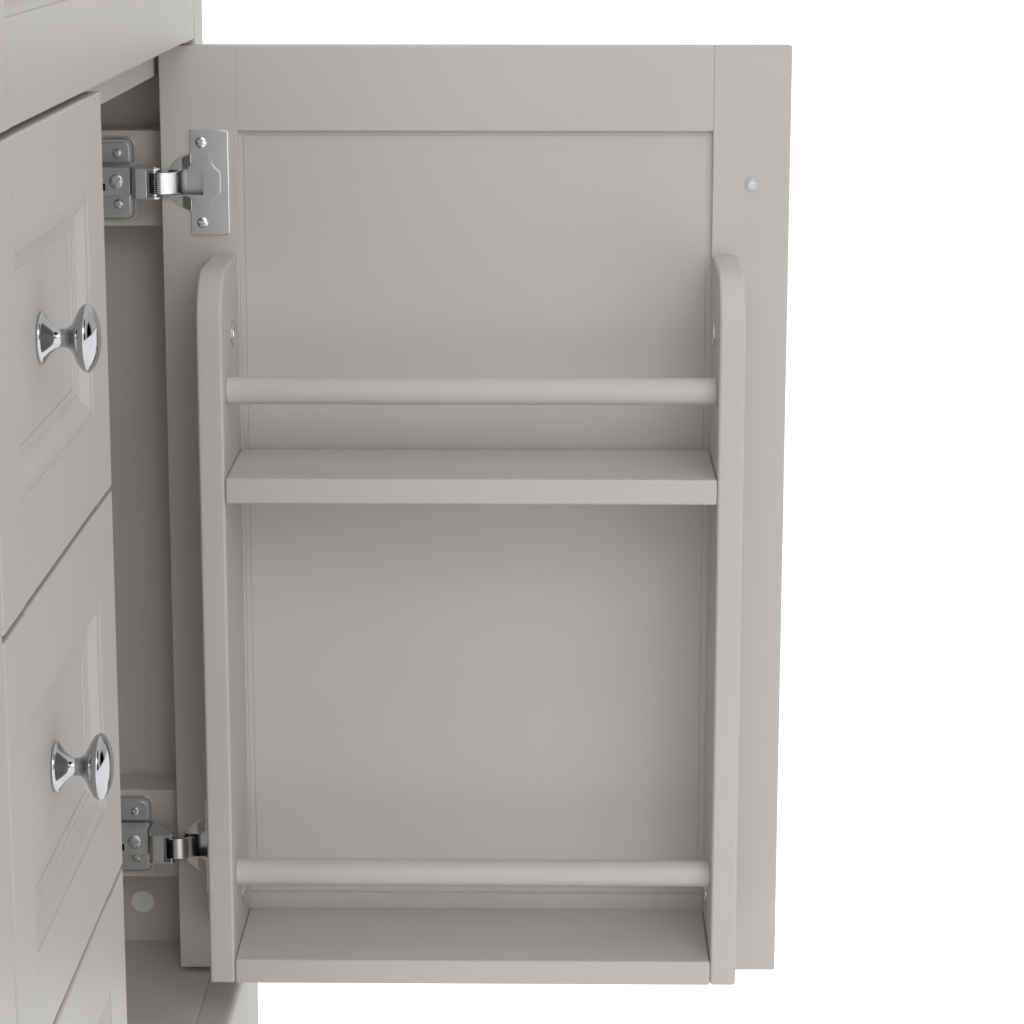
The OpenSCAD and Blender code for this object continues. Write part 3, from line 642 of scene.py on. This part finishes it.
def screw_head(radius, height, sides=32, cross=0.7):
    """A pan-head screw with a cross recess, standing on Z = 0 with its head up."""
    rim_h = 0.35 * height
    outline = [(radius, 0), (radius, rim_h)]
    outline += [(radius * math.cos(a), rim_h + (height - rim_h) * math.sin(a))
                for a in (math.pi / 2 * i / 5 for i in range(1, 6))]
    outline[-1] = (0, height)
    mesh = bake(lathe(outline, sides), "screw")
    arm, half, deep = cross * radius, 0.15 * radius, 0.7 * height
    bars = []
    for a in (0, math.pi / 2):
        bm = box_bmesh((-arm, -half, height - deep), (arm, half, height * 1.5))
        bm.transform(Matrix.Rotation(a + 0.35, 4, "Z"))
        bars.append(bm)
    return cut(mesh, bars)


def knob_screw():
    """The flanged head of a knob's screw, with a six-sided socket."""
    outline = [(4.0 * MM, 0), (4.0 * MM, 0.5 * MM), (3.7 * MM, 0.8 * MM), (3.0 * MM, 0.85 * MM),
               (2.9 * MM, 1.9 * MM), (2.5 * MM, 2.35 * MM), (0, KNOB_SCREW_H)]
    return cut(bake(lathe(outline, 36), "screw"), [prism(hexagon(1.6), 1.0, 4)])


def facing(point, axis):
    """A placement that stands +Z along axis at point."""
    return Matrix.Translation(point) @ Vector(axis).to_track_quat("Z", "Y").to_matrix().to_4x4()


def joined(meshes, name):
    """One mesh of many, given as (mesh, placement)."""
    bm = bmesh.new()
    for mesh, place in meshes:
        copy = mesh.copy()
        copy.transform(place)
        bm.from_mesh(copy)
        bpy.data.meshes.remove(copy)
    return bake(bm, name)


def knobs():
    """Each knob with the screw and shank that hold it through its front."""
    head = bake(lathe(knob_profile(), 72), "knob")
    screw = knob_screw()
    shank_r, into_knob, pair_spread = 2 * MM, 12 * MM, 0.1
    for node in ("wide_drawer_knobs", "top_drawer_knob", "centre_drawer_knob", "bottom_drawer_knob",
                 "rack_door_knob", "left_door_knob", "right_door_knob"):
        low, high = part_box(node)
        middle = (low + high) / 2
        z = middle.z
        if node == "rack_door_knob":
            out = Vector((1, 0, 0))
            spots = [(Vector((high.x - KNOB_H, middle.y, z)), Vector((low.x + KNOB_SCREW_H, middle.y, z)))]
        else:
            out = Vector((0, -1, 0))
            is_pair = high.x - low.x > pair_spread
            xs = (low.x + KNOB_R, high.x - KNOB_R) if is_pair else (middle.x,)
            spots = [(Vector((x, low.y + KNOB_H, z)), Vector((x, high.y - KNOB_SCREW_H, z))) for x in xs]
        pieces = []
        for foot, back in spots:
            shank = bake(cylinder_between((0, 0, -into_knob), (0, 0, (foot - back).length), shank_r, 20),
                         "shank")
            pieces += [(head, facing(foot, out)), (screw, facing(back, -out)), (shank, facing(foot, -out))]
        keep_piece(joined(pieces, node), node + "_turned", body_of(node), CHROME, (node,), 40)


# ---------- boards ----------

def boards():
    for node in ("corner_posts", "head_rail"):
        eased_copy(node, 1.6 * MM, 3)
    for node in ("middle_rail", "deck_rail", "base_bearers"):
        eased_copy(node, 1.0 * MM, 2)
    for node in ("base_moulding", "crown_moulding"):
        eased_copy(node, 0.8 * MM, 2, angle=50)
    # the inside boards take the lighter inside lacquer: painted light for the shaded interior
    for node in ("floor_panel", "divider", "drawer_deck", "upper_deck", "upper_shelves", "shelf_cleats",
                 "top_panel", "hinge_blocks", "runner_cleats"):
        eased_copy(node, 0.8 * MM, 2, INSIDE_LIGHTENED)
    for node in ("left_side_panel", "right_side_panel", "back_panel"):
        eased_copy(node, 0.4 * MM, 1, INSIDE_LIGHTENED if node == "back_panel" else PAINT)
    for node in ("wide_drawer_box", "top_drawer_box", "centre_drawer_box", "bottom_drawer_box"):
        eased_copy(node, 0.8 * MM, 2, INSIDE_LIGHTENED)
    eased_copy("rack_sides", 1.8 * MM, 3)
    eased_copy("rack_shelves", 1.5 * MM, 3)
    eased_copy("rack_dowels", 0.4 * MM, 1)


def runners():
    for node in ("runner_channels", "wide_drawer_runners", "top_drawer_runners", "centre_drawer_runners",
                 "bottom_drawer_runners"):
        eased_copy(node, 0.3 * MM, 1, ZINC)


# ---------- repeated pieces ----------

def repeater():
    """The tree that stands one piece on every point, with its +Z along the point's own axis."""
    tree = bpy.data.node_groups.new("stand_on_points", "GeometryNodeTree")
    face = tree.interface
    for name, kind in (("Points", "NodeSocketGeometry"), ("Piece", "NodeSocketObject"),
                       ("Random Turn", "NodeSocketFloat"), ("Seed", "NodeSocketInt"),
                       ("Finish", "NodeSocketMaterial")):
        face.new_socket(name, in_out="INPUT", socket_type=kind)
    face.new_socket("Geometry", in_out="OUTPUT", socket_type="NodeSocketGeometry")
    given = add(tree, "NodeGroupInput").outputs
    axis = add(tree, "GeometryNodeInputNamedAttribute", data_type="FLOAT_VECTOR")
    axis.inputs["Name"].default_value = "axis"
    side = add(tree, "GeometryNodeInputNamedAttribute", data_type="FLOAT_VECTOR")
    side.inputs["Name"].default_value = "side"
    up = add(tree, "FunctionNodeAxesToRotation", {"Primary Axis": axis.outputs["Attribute"],
                                                  "Secondary Axis": side.outputs["Attribute"]},
             primary_axis="Z", secondary_axis="X")
    low = add(tree, "ShaderNodeMath", operation="MULTIPLY")
    tree.links.new(given["Random Turn"], low.inputs[0])
    low.inputs[1].default_value = -1.0
    chance = add(tree, "FunctionNodeRandomValue", data_type="FLOAT")
    numbers = [i for i in chance.inputs if i.name in ("Min", "Max") and i.type == "VALUE"]
    tree.links.new(low.outputs[0], numbers[0])
    tree.links.new(given["Random Turn"], numbers[1])
    tree.links.new(given["Seed"], chance.inputs["Seed"])
    angle = next(o for o in chance.outputs if o.type == "VALUE" and o.enabled)
    turn = add(tree, "FunctionNodeAxisAngleToRotation", {"Angle": angle})
    turn.inputs["Axis"].default_value = (0, 0, 1)
    both = add(tree, "FunctionNodeRotateRotation", {"Rotation": up.outputs[0], "Rotate By": turn.outputs[0]},
               rotation_space="LOCAL")
    shape = add(tree, "GeometryNodeObjectInfo", {"Object": given["Piece"]})
    stood = add(tree, "GeometryNodeInstanceOnPoints", {"Points": given["Points"], "Rotation": both.outputs[0],
                                                       "Instance": shape.outputs["Geometry"]})
    real = add(tree, "GeometryNodeRealizeInstances", {"Geometry": stood.outputs[0]})
    finish = add(tree, "GeometryNodeSetMaterial", {"Geometry": real.outputs[0], "Material": given["Finish"]})
    tree.links.new(finish.outputs[0], add(tree, "NodeGroupOutput").inputs["Geometry"])
    return tree


REPEATER = repeater()


def repeated(piece, places, finish, turn=0.0, seed=7):
    """One mesh of copies of piece, at places given as matrices; each is turned about its own Z by up to
    turn radians either way."""
    points = bpy.data.meshes.new("points")
    points.from_pydata([tuple(p.translation) for p in places], [], [])
    for name, column in (("axis", 2), ("side", 0)):
        values = points.attributes.new(name, "FLOAT_VECTOR", "POINT").data
        for value, place in zip(values, places):
            value.vector = place.col[column].to_3d()
    stand = bpy.data.objects.new("stand", points)
    shape = bpy.data.objects.new("shape", piece)
    for o in (stand, shape):
        bpy.context.scene.collection.objects.link(o)
    modifier = stand.modifiers.new("stand_on_points", "NODES")
    modifier.node_group = REPEATER
    settings = {"Piece": shape, "Random Turn": turn, "Seed": seed, "Finish": finish}
    for socket in REPEATER.interface.items_tree:
        if socket.in_out == "INPUT" and socket.name in settings:
            modifier[socket.identifier] = settings[socket.name]
    seen = stand.evaluated_get(bpy.context.evaluated_depsgraph_get())
    mesh = bpy.data.meshes.new_from_object(seen)
    stand.modifiers.remove(modifier)
    for o in (stand, shape):
        bpy.data.objects.remove(o)
    return mesh


# ---------- hinges ----------

def mounting_plate():
    """The winged plate on its block: a flat rim, and a field pressed up inside it on each wing."""
    edge = rounded([(38, -25.3), (62, -25.3), (62, -10), (84, -10), (84, 10), (62, 10), (62, 25.3),
                    (38, 25.3)], [6, 4, 2, 3, 3, 2, 4, 6], 7)
    parts = [soft(on_side(prism(edge, 1.0, 2.4)), 0.35, 2, 50)]
    for s in (1, -1):
        field = rounded(box_outline(41.4, 59.5, 9.6, 21.8), [0.5, 0.5, 2.5, 4.0], 7)
        wing = on_side(prism([(y, s * z) for y, z in field], 0.0, 1.2))
        bmesh.ops.recalc_face_normals(wing, faces=wing.faces)
        parts.append(soft(wing, 0.7, 3, 50))
        bead = rounded(box_outline(38.6, 61.2, 9.4, 24.6), [0.5, 0.5, 3.5, 5.4], 7)
        inner = rounded(box_outline(39.6, 60.2, 9.4, 23.6), [0.5, 0.5, 3.0, 4.8], 7)
        parts.append(rim(bead, inner, s))
    parts.append(soft(on_side(prism(rounded(box_outline(64, 82, -8.2, 8.2), 2.5), 0.2, 1.2)), 0.5, 2, 50))
    return parts


def rim(outer, inner, s):
    """A raised bead between two outlines of equal length, on a plate's face."""
    bm = bmesh.new()
    crest = [((a[0] + b[0]) / 2, (a[1] + b[1]) / 2) for a, b in zip(outer, inner)]
    rings = [[bm.verts.new((x * MM, y * MM, s * z * MM)) for y, z in row]
             for row, x in ((outer, 1.0), (crest, 0.35), (inner, 1.0))]
    for a, b in ((0, 1), (1, 2), (2, 0)):
        skin(bm, rings[a], rings[b])
    bmesh.ops.recalc_face_normals(bm, faces=bm.faces)
    return bm


def hinge_arm():
    """The arm: a flat body on the plate, a step up to the neck, and two ears that hold the pivot."""
    px, py = in_mm(ARM_PIVOT)
    body = [(-15, 38.8), (-15, 80), (-14, 81.8), (-0.3, 81.8), (-0.3, 40.2), (-5.6, 38.8)]
    parts = [soft(prism(body, -8.75, 8.75), 0.7, 3, 40)]
    step = [(-26.6, 36.2), (-15.2, 38.2), (-7, 38.2), (-7.6, 35.2), (-15, 34.2)]
    parts.append(soft(prism(step, -8.2, 8.2), 0.3, 2, 50))
    neck = rounded([(-29.4, 27.2), (-29.4, 34.4), (-27.4, 36.4), (-25.6, 34.8), (-25.6, 27.2)],
                   [0.3, 2.0, 1.2, 0.2, 0.2], 4)
    parts.append(soft(prism(neck, -9.15, 9.15), 0.5, 3, 50))
    ear = rounded([(-29.2, 35.0), (-27.2, 36.8), (-15, 37.9), (-6.4, 37.0), (-9.2, 30.6), (-17, 26.4),
                   (-22.4, 21.6), (-24.0, 19.3), (-28.2, 19.6), (-29.7, 22.4)],
                  [1, 1, 0.5, 1, 1.5, 2, 1.5, 1.5, 2, 1.5], 4)
    for low, high in ((7.9, 9.25), (-9.25, -7.9)):
        parts.append(soft(prism(ear, low, high), 0.3, 2, 50))
    parts.append(soft(prism([(-25.8, 33.0), (-25.8, 35.0), (-12, 35.6), (-12, 33.0)], -7.8, 7.8), 0.2, 1, 50))
    parts.append(rod(px, py, -9.2, 9.2, 1.45))
    for low, high in ((9.15, 9.7), (-9.7, -9.15)):
        parts.append(rod(px, py, low, high, 2.1))
    return parts


def spring_turn():
    """The part that shows of one turn of the closing spring: a little over half, about a pin along Z."""
    coil_r, wire_r = 2.75 * MM, 0.42 * MM
    start, sweep, steps, sides = math.radians(40), math.radians(200), 14, 8
    bm = bmesh.new()
    rings = []
    for i in range(steps + 1):
        a = start + sweep * i / steps
        way = Vector((math.cos(a), math.sin(a), 0))
        ring = []
        for b in (2 * math.pi * k / sides for k in range(sides)):
            up = Vector((0, 0, wire_r * math.sin(b)))
            ring.append(bm.verts.new(way * (coil_r + wire_r * math.cos(b)) + up))
        rings.append(ring)
    for a, b in zip(rings, rings[1:]):
        skin(bm, a, b)
    bm.faces.new(rings[0])
    bm.faces.new(rings[-1])
    bmesh.ops.recalc_face_normals(bm, faces=bm.faces)
    return bake(bm, "spring_turn")


def goose_neck():
    """The pair of links as one bowed sheet between its two eyes, in the place it has with the door open."""
    ax, ay = in_mm(ARM_PIVOT)
    bx, by = in_mm(CUP_OPEN)
    middle = [(ax - 1.2, ay - 0.8), (-27.1, 18.2), (-25.7, 13.7), (-21.2, 9.9), (bx - 0.8, by - 1.3)]
    half_w, half_t = 6.5, 1.15
    parts = [soft(prism(thick_line(middle, half_t), -half_w, half_w), 0.4, 3, 50)]
    for x, y, eye_r in ((ax, ay, 2.25), (bx, by, 2.6)):
        parts.append(rod(x, y, -half_w, half_w, eye_r))
    return parts


def press_down(bm, test, y):
    """Brings the corners that test picks to depth y, so that a flat piece slopes; all in millimetres."""
    for v in bm.verts:
        if test(v.co / MM):
            v.co.y = y * MM
    bmesh.ops.recalc_face_normals(bm, faces=bm.faces)
    return bm


def hinge_cup():
    """The cup with its cover, flange and hood, drawn on a closed door."""
    t, mid, edge = FRONT_T / MM, -(GAP + CUP_EDGE) / MM, -(GAP + FLANGE_EDGE) / MM
    r, deep = CUP_R / MM, CUP_DEEP / MM
    bowl = lathe([(r * MM - 0.1 * MM, 0), (r * MM, 1.2 * MM), (r * MM, (deep + 0.35) * MM),
                  ((r - 0.9) * MM, (deep + 0.35) * MM), ((r - 1.4) * MM, (deep - 0.6) * MM),
                  ((r - 1.5) * MM, 3.2 * MM), ((r - 2.6) * MM, 1.6 * MM), (0, 1.4 * MM)], 72)
    bowl.transform(Matrix.Translation((mid * MM, (t - deep) * MM, 0)) @ Matrix.Rotation(-math.pi / 2, 4, "X"))
    parts = [bowl]
    for s in (1, -1):
        # a flat cover beside the links, the ramp up to the flange, and a gusset against the hood
        arc = [(mid + (r - 0.5) * math.cos(a), s * (r - 0.5) * math.sin(a))
               for a in (math.radians(25.5 + (81.5 - 25.5) * i / 14) for i in range(15))]
        cover = arc + [(edge - 0.4, s * 7.3)]
        parts.append(soft(on_face(prism(cover, t - 0.5, t + 0.45)), 0.2, 2, 50))
        ramp = [(-15.7, s * 8.0), (-15.7, s * 14.6), (edge - 0.1, s * 17.2), (edge - 0.1, s * 8.0)]
        sloped = press_down(on_face(prism(ramp, t + 0.3, t + 2.0)),
                            lambda p: p.x > -16.5 and p.y > t + 1, t + 0.55)
        parts.append(soft(sloped, 0.15, 1, 50))
        gusset = [(edge - 1.2, s * 11.0), (edge - 13.5, s * 11.0), (edge - 9.5, s * 17.6),
                  (edge - 4.0, s * 17.6)]
        sloped = press_down(on_face(prism(gusset, t + 1.3, t + 2.1)),
                            lambda p: abs(p.z) > 17 and p.y > t + 1.5, t + 1.45)
        parts.append(soft(sloped, 0.12, 1, 50))
    flange_w, flange_t, half_h = 23, 1.4, FLANGE_H / 2 / MM
    slot = [(edge, 7.3), (edge - 7.4, 7.3), (edge - 7.4, -7.3), (edge, -7.3)]
    flange = [(edge, -half_h), (edge - flange_w, -half_h), (edge - flange_w, half_h), (edge, half_h)] + slot
    sheet = on_face(prism(rounded(flange, [0.6, 0.9, 0.9, 0.6, 0.2, 1.0, 1.0, 0.2], 4), t, t + flange_t))
    outer = [e for e in sheet.edges
             if all(v.co.y > (t + 1) * MM and v.co.x < (edge - flange_w + 1) * MM for v in e.verts)]
    bmesh.ops.bevel(sheet, geom=outer, offset=1.1 * MM, segments=4, profile=0.5, affect="EDGES")
    parts.append(soft(sheet, 0.15, 1, 60))
    hood = rounded([(-18.2, 7.3), (-21.8, 11.6), (-33.0, 11.6), (-38.6, 6.0), (-38.6, -5.6), (-33.4, -11.0),
                    (-22.6, -11.0), (-18.2, -7.3), (-28.4, -7.3), (-28.4, 7.3)],
                   [0.2, 0.6, 0.8, 0.8, 0.8, 0.8, 0.6, 0.2, 1.0, 1.0], 3)
    top = on_face(prism(hood, t + 0.4, t + 2.5))
    rimmed = [e for e in top.edges if all(v.co.y > (t + 2) * MM for v in e.verts)]
    bmesh.ops.bevel(top, geom=rimmed, offset=0.7 * MM, segments=2, profile=0.6, affect="EDGES",
                    clamp_overlap=True)
    parts.append(top)
    cx, cy = in_mm(CUP_SHUT)
    parts.append(rod(cx, cy, -13.0, 13.0, 1.45))
    return parts


def one_mesh(parts, name, mirrored=False):
    """Bakes bmesh parts into one mesh; mirrored swaps left and right and turns the faces out again."""
    whole = bmesh.new()
    for part in parts:
        mesh = bake(part, "part")
        whole.from_mesh(mesh)
        bpy.data.meshes.remove(mesh)
    if mirrored:
        whole.transform(Matrix.Diagonal((-1, 1, 1, 1)))
        bmesh.ops.reverse_faces(whole, faces=whole.faces)
    return bake(whole, name)


def at_hinge(side, z):
    """A hinge's own frame; on the left it is used with mirrored meshes."""
    return Matrix.Translation((POST_IN if side == "right" else -POST_IN, FRONT_Y, z))


def about(pivot, angle):
    """A turn about an upright axis through pivot."""
    return (Matrix.Translation((pivot[0], pivot[1], 0)) @ Matrix.Rotation(angle, 4, "Z")
            @ Matrix.Translation((-pivot[0], -pivot[1], 0)))


OPEN_DOOR = (Matrix.Translation((CUP_OPEN[0], CUP_OPEN[1], 0)) @ Matrix.Rotation(math.pi / 2, 4, "Z")
             @ Matrix.Translation((-CUP_SHUT[0], -CUP_SHUT[1], 0)))
HINGES = [("rack_door", "right"), ("right_door", "right"), ("left_door", "left")]


def hinges():
    """Every hinge's plate, arm, links and cup, with the screws stood on them by the repeating tree."""
    shapes = {(kind, side): one_mesh(make(), kind, side == "left") for side in ("left", "right")
              for kind, make in (("plate", mounting_plate), ("arm", hinge_arm), ("link", goose_neck),
                                 ("cup", hinge_cup))}
    pan = screw_head(3.0 * MM, 1.5 * MM)
    big = screw_head(4.4 * MM, 1.2 * MM, 40)
    wood_screw = screw_head(3.3 * MM, 1.5 * MM)
    flange_screw, flange_top, from_middle = FLANGE_EDGE + 6.5 * MM, 1.35 * MM, 24 * MM
    turn, turns, pitch = spring_turn(), 11, 1.12 * MM
    left_spring = Matrix.Rotation(-math.radians(100), 4, "Z")
    plates, arms, pans, bigs, springs, slots = [], [], [], [], [], []
    for door, side in HINGES:
        cups, links, screws = [], [], []
        sign = 1 if side == "right" else -1
        pivot = (sign * ARM_PIVOT[0], ARM_PIVOT[1])
        is_open = door == "rack_door"
        swing = OPEN_DOOR if is_open else Matrix.Identity(4)
        rest = Matrix.Identity(4) if is_open else about(pivot, sign * LINK_TURN)
        for z in hinge_heights(door + "_hinge_cups"):
            here = at_hinge(side, z)

            def on_plate(x, y, dz, base=here):
                """A spot on the plate's face, in millimetres, looking across the opening."""
                return base @ facing((sign * x * MM, y * MM, dz * MM), (-sign, 0, 0))

            plates.append((shapes["plate", side], here))
            arms.append((shapes["arm", side], here))
            links.append((shapes["link", side], here @ rest))
            cups.append((shapes["cup", side], here @ swing))
            pans += [on_plate(0.1, 48.5, dz) for dz in (15.2, -15.2)]
            bigs.append(on_plate(-14.9, 47.4, 0))
            slots.append(on_plate(-14.4, 55.2, -3.4))
            springs += [here @ Matrix.Translation((*pivot, (k - turns // 2) * pitch))
                        @ (Matrix.Identity(4) if sign > 0 else left_spring) for k in range(turns)]
            x, y = -sign * (GAP + flange_screw), FRONT_T + flange_top
            screws += [here @ swing @ facing((x, y, dz), (0, 1, 0)) for dz in (from_middle, -from_middle)]
        cups.append((repeated(wood_screw, screws, NICKEL, 0.9, 11), Matrix.Identity(4)))
        keep_piece(joined(cups, door + "_cups"), door + "_hinge_cups_pressed", door, NICKEL,
                   (door + "_hinge_cups",), 30)
        keep_piece(joined(links, door + "_links"), door + "_hinge_links_bowed", door + "_links",
                   NICKEL, (door + "_hinge_links",), 40)
    keep_piece(joined(plates, "plates"), "hinge_plates_pressed", "case", PLATE,
               ("hinge_plates",), 30)
    keep_piece(joined(arms, "arms"), "hinge_arms_stepped", "case", PLATE, ("hinge_arms",), 30)
    keep_piece(repeated(pan, pans, ZINC, 0.9, 3), "hinge_plate_screws", "case", ZINC)
    keep_piece(repeated(big, bigs, ZINC, 0.3, 5), "hinge_arm_screws", "case", ZINC)
    keep_piece(repeated(turn, springs, DARK), "hinge_springs", "case", DARK)
    # painted shade: a thin dark mark laid on each arm at its slot, in place of the shade down an open slot
    slot = rounded(box_outline(-1.2, 1.2, -2.2, 2.2), 0.6)
    painted_slot_shade = bake(soft(prism(slot, 0, 0.75), 0.1, 1, 60), "slot")
    keep_piece(repeated(painted_slot_shade, slots, DARK), "hinge_arm_slots", "case", DARK)


# ---------- round fittings ----------

def cam_cover():
    """A push-in cover: a shallow dome with a moulded cross."""
    profile = [(7.5 * MM, 0), (7.5 * MM, 0.45 * MM), (7.1 * MM, 0.85 * MM), (5.5 * MM, 1.05 * MM),
               (0, 1.15 * MM)]
    mesh = bake(lathe(profile, 40), "cover")
    bars = []
    for a in (0.6, 0.6 + math.pi / 2):
        for low, high in ((-3.6, -1.1), (1.1, 3.6)):
            bm = box_bmesh((low * MM, -0.45 * MM, 0.75 * MM), (high * MM, 0.45 * MM, 2 * MM))
            bm.transform(Matrix.Rotation(a, 4, "Z"))
            bars.append(bm)
    return cut(mesh, bars)


def rack_cam():
    """The face of a cam bolt: a rimmed disc with a six-sided socket."""
    profile = [(7.5 * MM, 0), (7.5 * MM, 0.6 * MM), (7.2 * MM, 0.85 * MM), (6.4 * MM, 0.85 * MM),
               (6.1 * MM, 0.55 * MM), (0, 0.55 * MM)]
    mesh = bake(lathe(profile, 40), "cam")
    return cut(mesh, [prism(hexagon(3.4), 0.15, 2)])


def small_spots(node):
    """The low and high corners of each separate solid of a CAD node."""
    mesh = bmesh.new()
    mesh.from_mesh(frame["nodes"][node].data)
    bmesh.ops.remove_doubles(mesh, verts=mesh.verts, dist=1e-6)
    left, spots = set(mesh.verts), []
    while left:
        front = [left.pop()]
        group = list(front)
        while front:
            for e in front.pop().link_edges:
                for v in e.verts:
                    if v in left:
                        left.discard(v)
                        front.append(v)
                        group.append(v)
        low = Vector([min(v.co[k] for v in group) for k in range(3)])
        high = Vector([max(v.co[k] for v in group) for k in range(3)])
        spots.append((low, high))
    mesh.free()
    return spots


def fittings():
    """The covers in the side panels and the cam bolts in the rack, each facing into its bay."""
    places = []
    for low, high in small_spots("cam_covers"):
        middle, out = (low + high) / 2, (-1 if low.x > 0 else 1)
        places.append(facing((high.x if out < 0 else low.x, middle.y, middle.z), (out, 0, 0)))
    keep_piece(repeated(cam_cover(), places, COVER, 0.5, 4), "cam_covers_moulded", "case",
               COVER, ("cam_covers",))
    places = []
    spots = small_spots("rack_cams")
    centre = sum(((low + high).y / 2 for low, high in spots)) / len(spots)
    for low, high in spots:
        middle, out = (low + high) / 2, (1 if (low + high).y / 2 < centre else -1)
        places.append(facing((middle.x, low.y if out > 0 else high.y, middle.z), (0, out, 0)))
    keep_piece(repeated(rack_cam(), places, NICKEL, 0.5, 9), "rack_cams_turned", "rack_door",
               NICKEL, ("rack_cams",))


# ---------- room, light and camera ----------

def glowing(name, base, roughness, strength):
    """A material that gives off plain white light of its own."""
    material, _, shader, _ = new_material(name, base, roughness)
    shader.inputs["Emission Color"].default_value = (1, 1, 1, 1)
    shader.inputs["Emission Strength"].default_value = strength
    return material


def stage():
    """A pale floor and a plain pale dome round it. Neither is seen by diffuse rays, so the soft light comes
    from the studio round about and not up off the floor."""
    pale = glowing("stage_pale", "#f4f4f4", 0.95, 0.62)
    floor_r, dome_r, floor_drop = 40, 39, 0.5 * MM
    bm = bmesh.new()
    bmesh.ops.create_circle(bm, cap_ends=True, segments=96, radius=floor_r)
    floor = bpy.data.objects.new("stage_floor", bake(bm, "stage_floor"))
    floor.data.materials.append(pale)
    floor.location.z = -floor_drop
    glow = glowing("backdrop_pale", "#000000", 1.0, 1.0)
    bm = bmesh.new()
    bmesh.ops.create_uvsphere(bm, u_segments=48, v_segments=24, radius=dome_r)
    bmesh.ops.reverse_faces(bm, faces=bm.faces)
    dome = bpy.data.objects.new("stage_dome", bake(bm, "stage_dome"))
    dome.data.materials.append(glow)
    for piece in (floor, dome):
        bpy.context.scene.collection.objects.link(piece)
        piece.visible_diffuse = False
    dome.visible_glossy = dome.visible_shadow = dome.visible_transmission = False


AMBIENT, KEY_LIGHT, TOP_LIGHT = 0.68, 0.68, 0.2
# each gap's direction, then where its edge starts and ends as the cosine of the angle from it
DARK_GAPS = [((-0.55, -0.8, 0.1), 0.955, 0.985), ((-0.9, 0.42, 0.05), 0.95, 0.985),
             ((-0.35, -0.6, 0.75), 0.95, 0.98), ((0.25, -0.95, 0.1), 0.94, 0.98),
             ((-0.8, -0.1, -0.55), 0.94, 0.98)]


def studio():
    """Light from all round: brightest from the left, where the open door's back faces, a little more
    from above, with a few dark gaps between the soft panels that give plated metal its contrast."""
    world = bpy.data.worlds.new("studio")
    world.use_nodes = True
    tree = world.node_tree
    way = add(tree, "ShaderNodeTexCoord").outputs["Generated"]

    def towards(direction, low, high):
        """From 0 to 1 as the view turns towards direction."""
        along = add(tree, "ShaderNodeVectorMath", {0: way}, operation="DOT_PRODUCT")
        along.inputs[1].default_value = Vector(direction).normalized()
        return add(tree, "ShaderNodeMapRange", {"Value": along.outputs["Value"]}, From_Min=low, From_Max=high,
                   interpolation_type="SMOOTHSTEP").outputs[0]

    def scaled(value, factor, plus=0.0):
        node = add(tree, "ShaderNodeMath", {0: value}, operation="MULTIPLY_ADD")
        node.inputs[1].default_value = factor
        if isinstance(plus, float):
            node.inputs[2].default_value = plus
        else:
            tree.links.new(plus, node.inputs[2])
        return node.outputs[0]

    total = scaled(towards((-1, 0.0, 0.22), 0.3, 1.0), KEY_LIGHT, AMBIENT)
    total = scaled(towards((0, 0, 1), 0.0, 1.0), TOP_LIGHT, total)
    for direction, low, high in DARK_GAPS:
        gap = scaled(towards(direction, low, high), -1.0, 1.0)
        total = add(tree, "ShaderNodeMath", {0: total, 1: gap}, operation="MULTIPLY").outputs[0]
    tree.links.new(total, tree.nodes["Background"].inputs["Strength"])
    tree.nodes["Background"].inputs["Color"].default_value = (1.0, 0.995, 0.985, 1)
    bpy.context.scene.world = world


def softbox(name, place, target, size, power):
    """A soft rectangular lamp at place, aimed at target; power in watts."""
    light = bpy.data.lights.new(name, "AREA")
    light.shape, light.size, light.size_y, light.energy = "RECTANGLE", size[0], size[1], power
    lamp = bpy.data.objects.new(name, light)
    lamp.location = place
    lamp.rotation_euler = (Vector(target) - Vector(place)).to_track_quat("-Z", "Y").to_euler()
    bpy.context.scene.collection.objects.link(lamp)


def lights():
    softbox("key", (-2.7, -1.3, 2.3), (0.2, -0.3, 0.5), (1.0, 1.0), 10)
    softbox("strip", (-2.3, 0.9, 1.5), (0.3, -0.4, 0.5), (0.25, 1.6), 3)


def camera():
    """Looks along the cabinet's front at the open door, from its left and a little above."""
    data = bpy.data.cameras.new("camera")
    data.lens, data.sensor_width = 105.24, 36.0
    data.clip_start, data.clip_end = 0.05, 60
    view = bpy.data.objects.new("camera", data)
    turn, down = math.radians(0.785), math.radians(12.245)
    ahead = Vector((math.cos(down) * math.cos(turn), math.cos(down) * math.sin(turn), -math.sin(down)))
    view.location = (-1.469, -0.4176, 0.7815)
    view.rotation_euler = ahead.to_track_quat("-Z", "Y").to_euler()
    bpy.context.scene.collection.objects.link(view)
    bpy.context.scene.camera = view


camera()
stage()
studio()
lights()
boards()
runners()
hinges()
fittings()
drawer_fronts()
rack_door()
upper_doors()
knobs()

bpy.context.scene.view_settings.view_transform = "Standard"
bpy.context.scene.view_settings.look = "None"
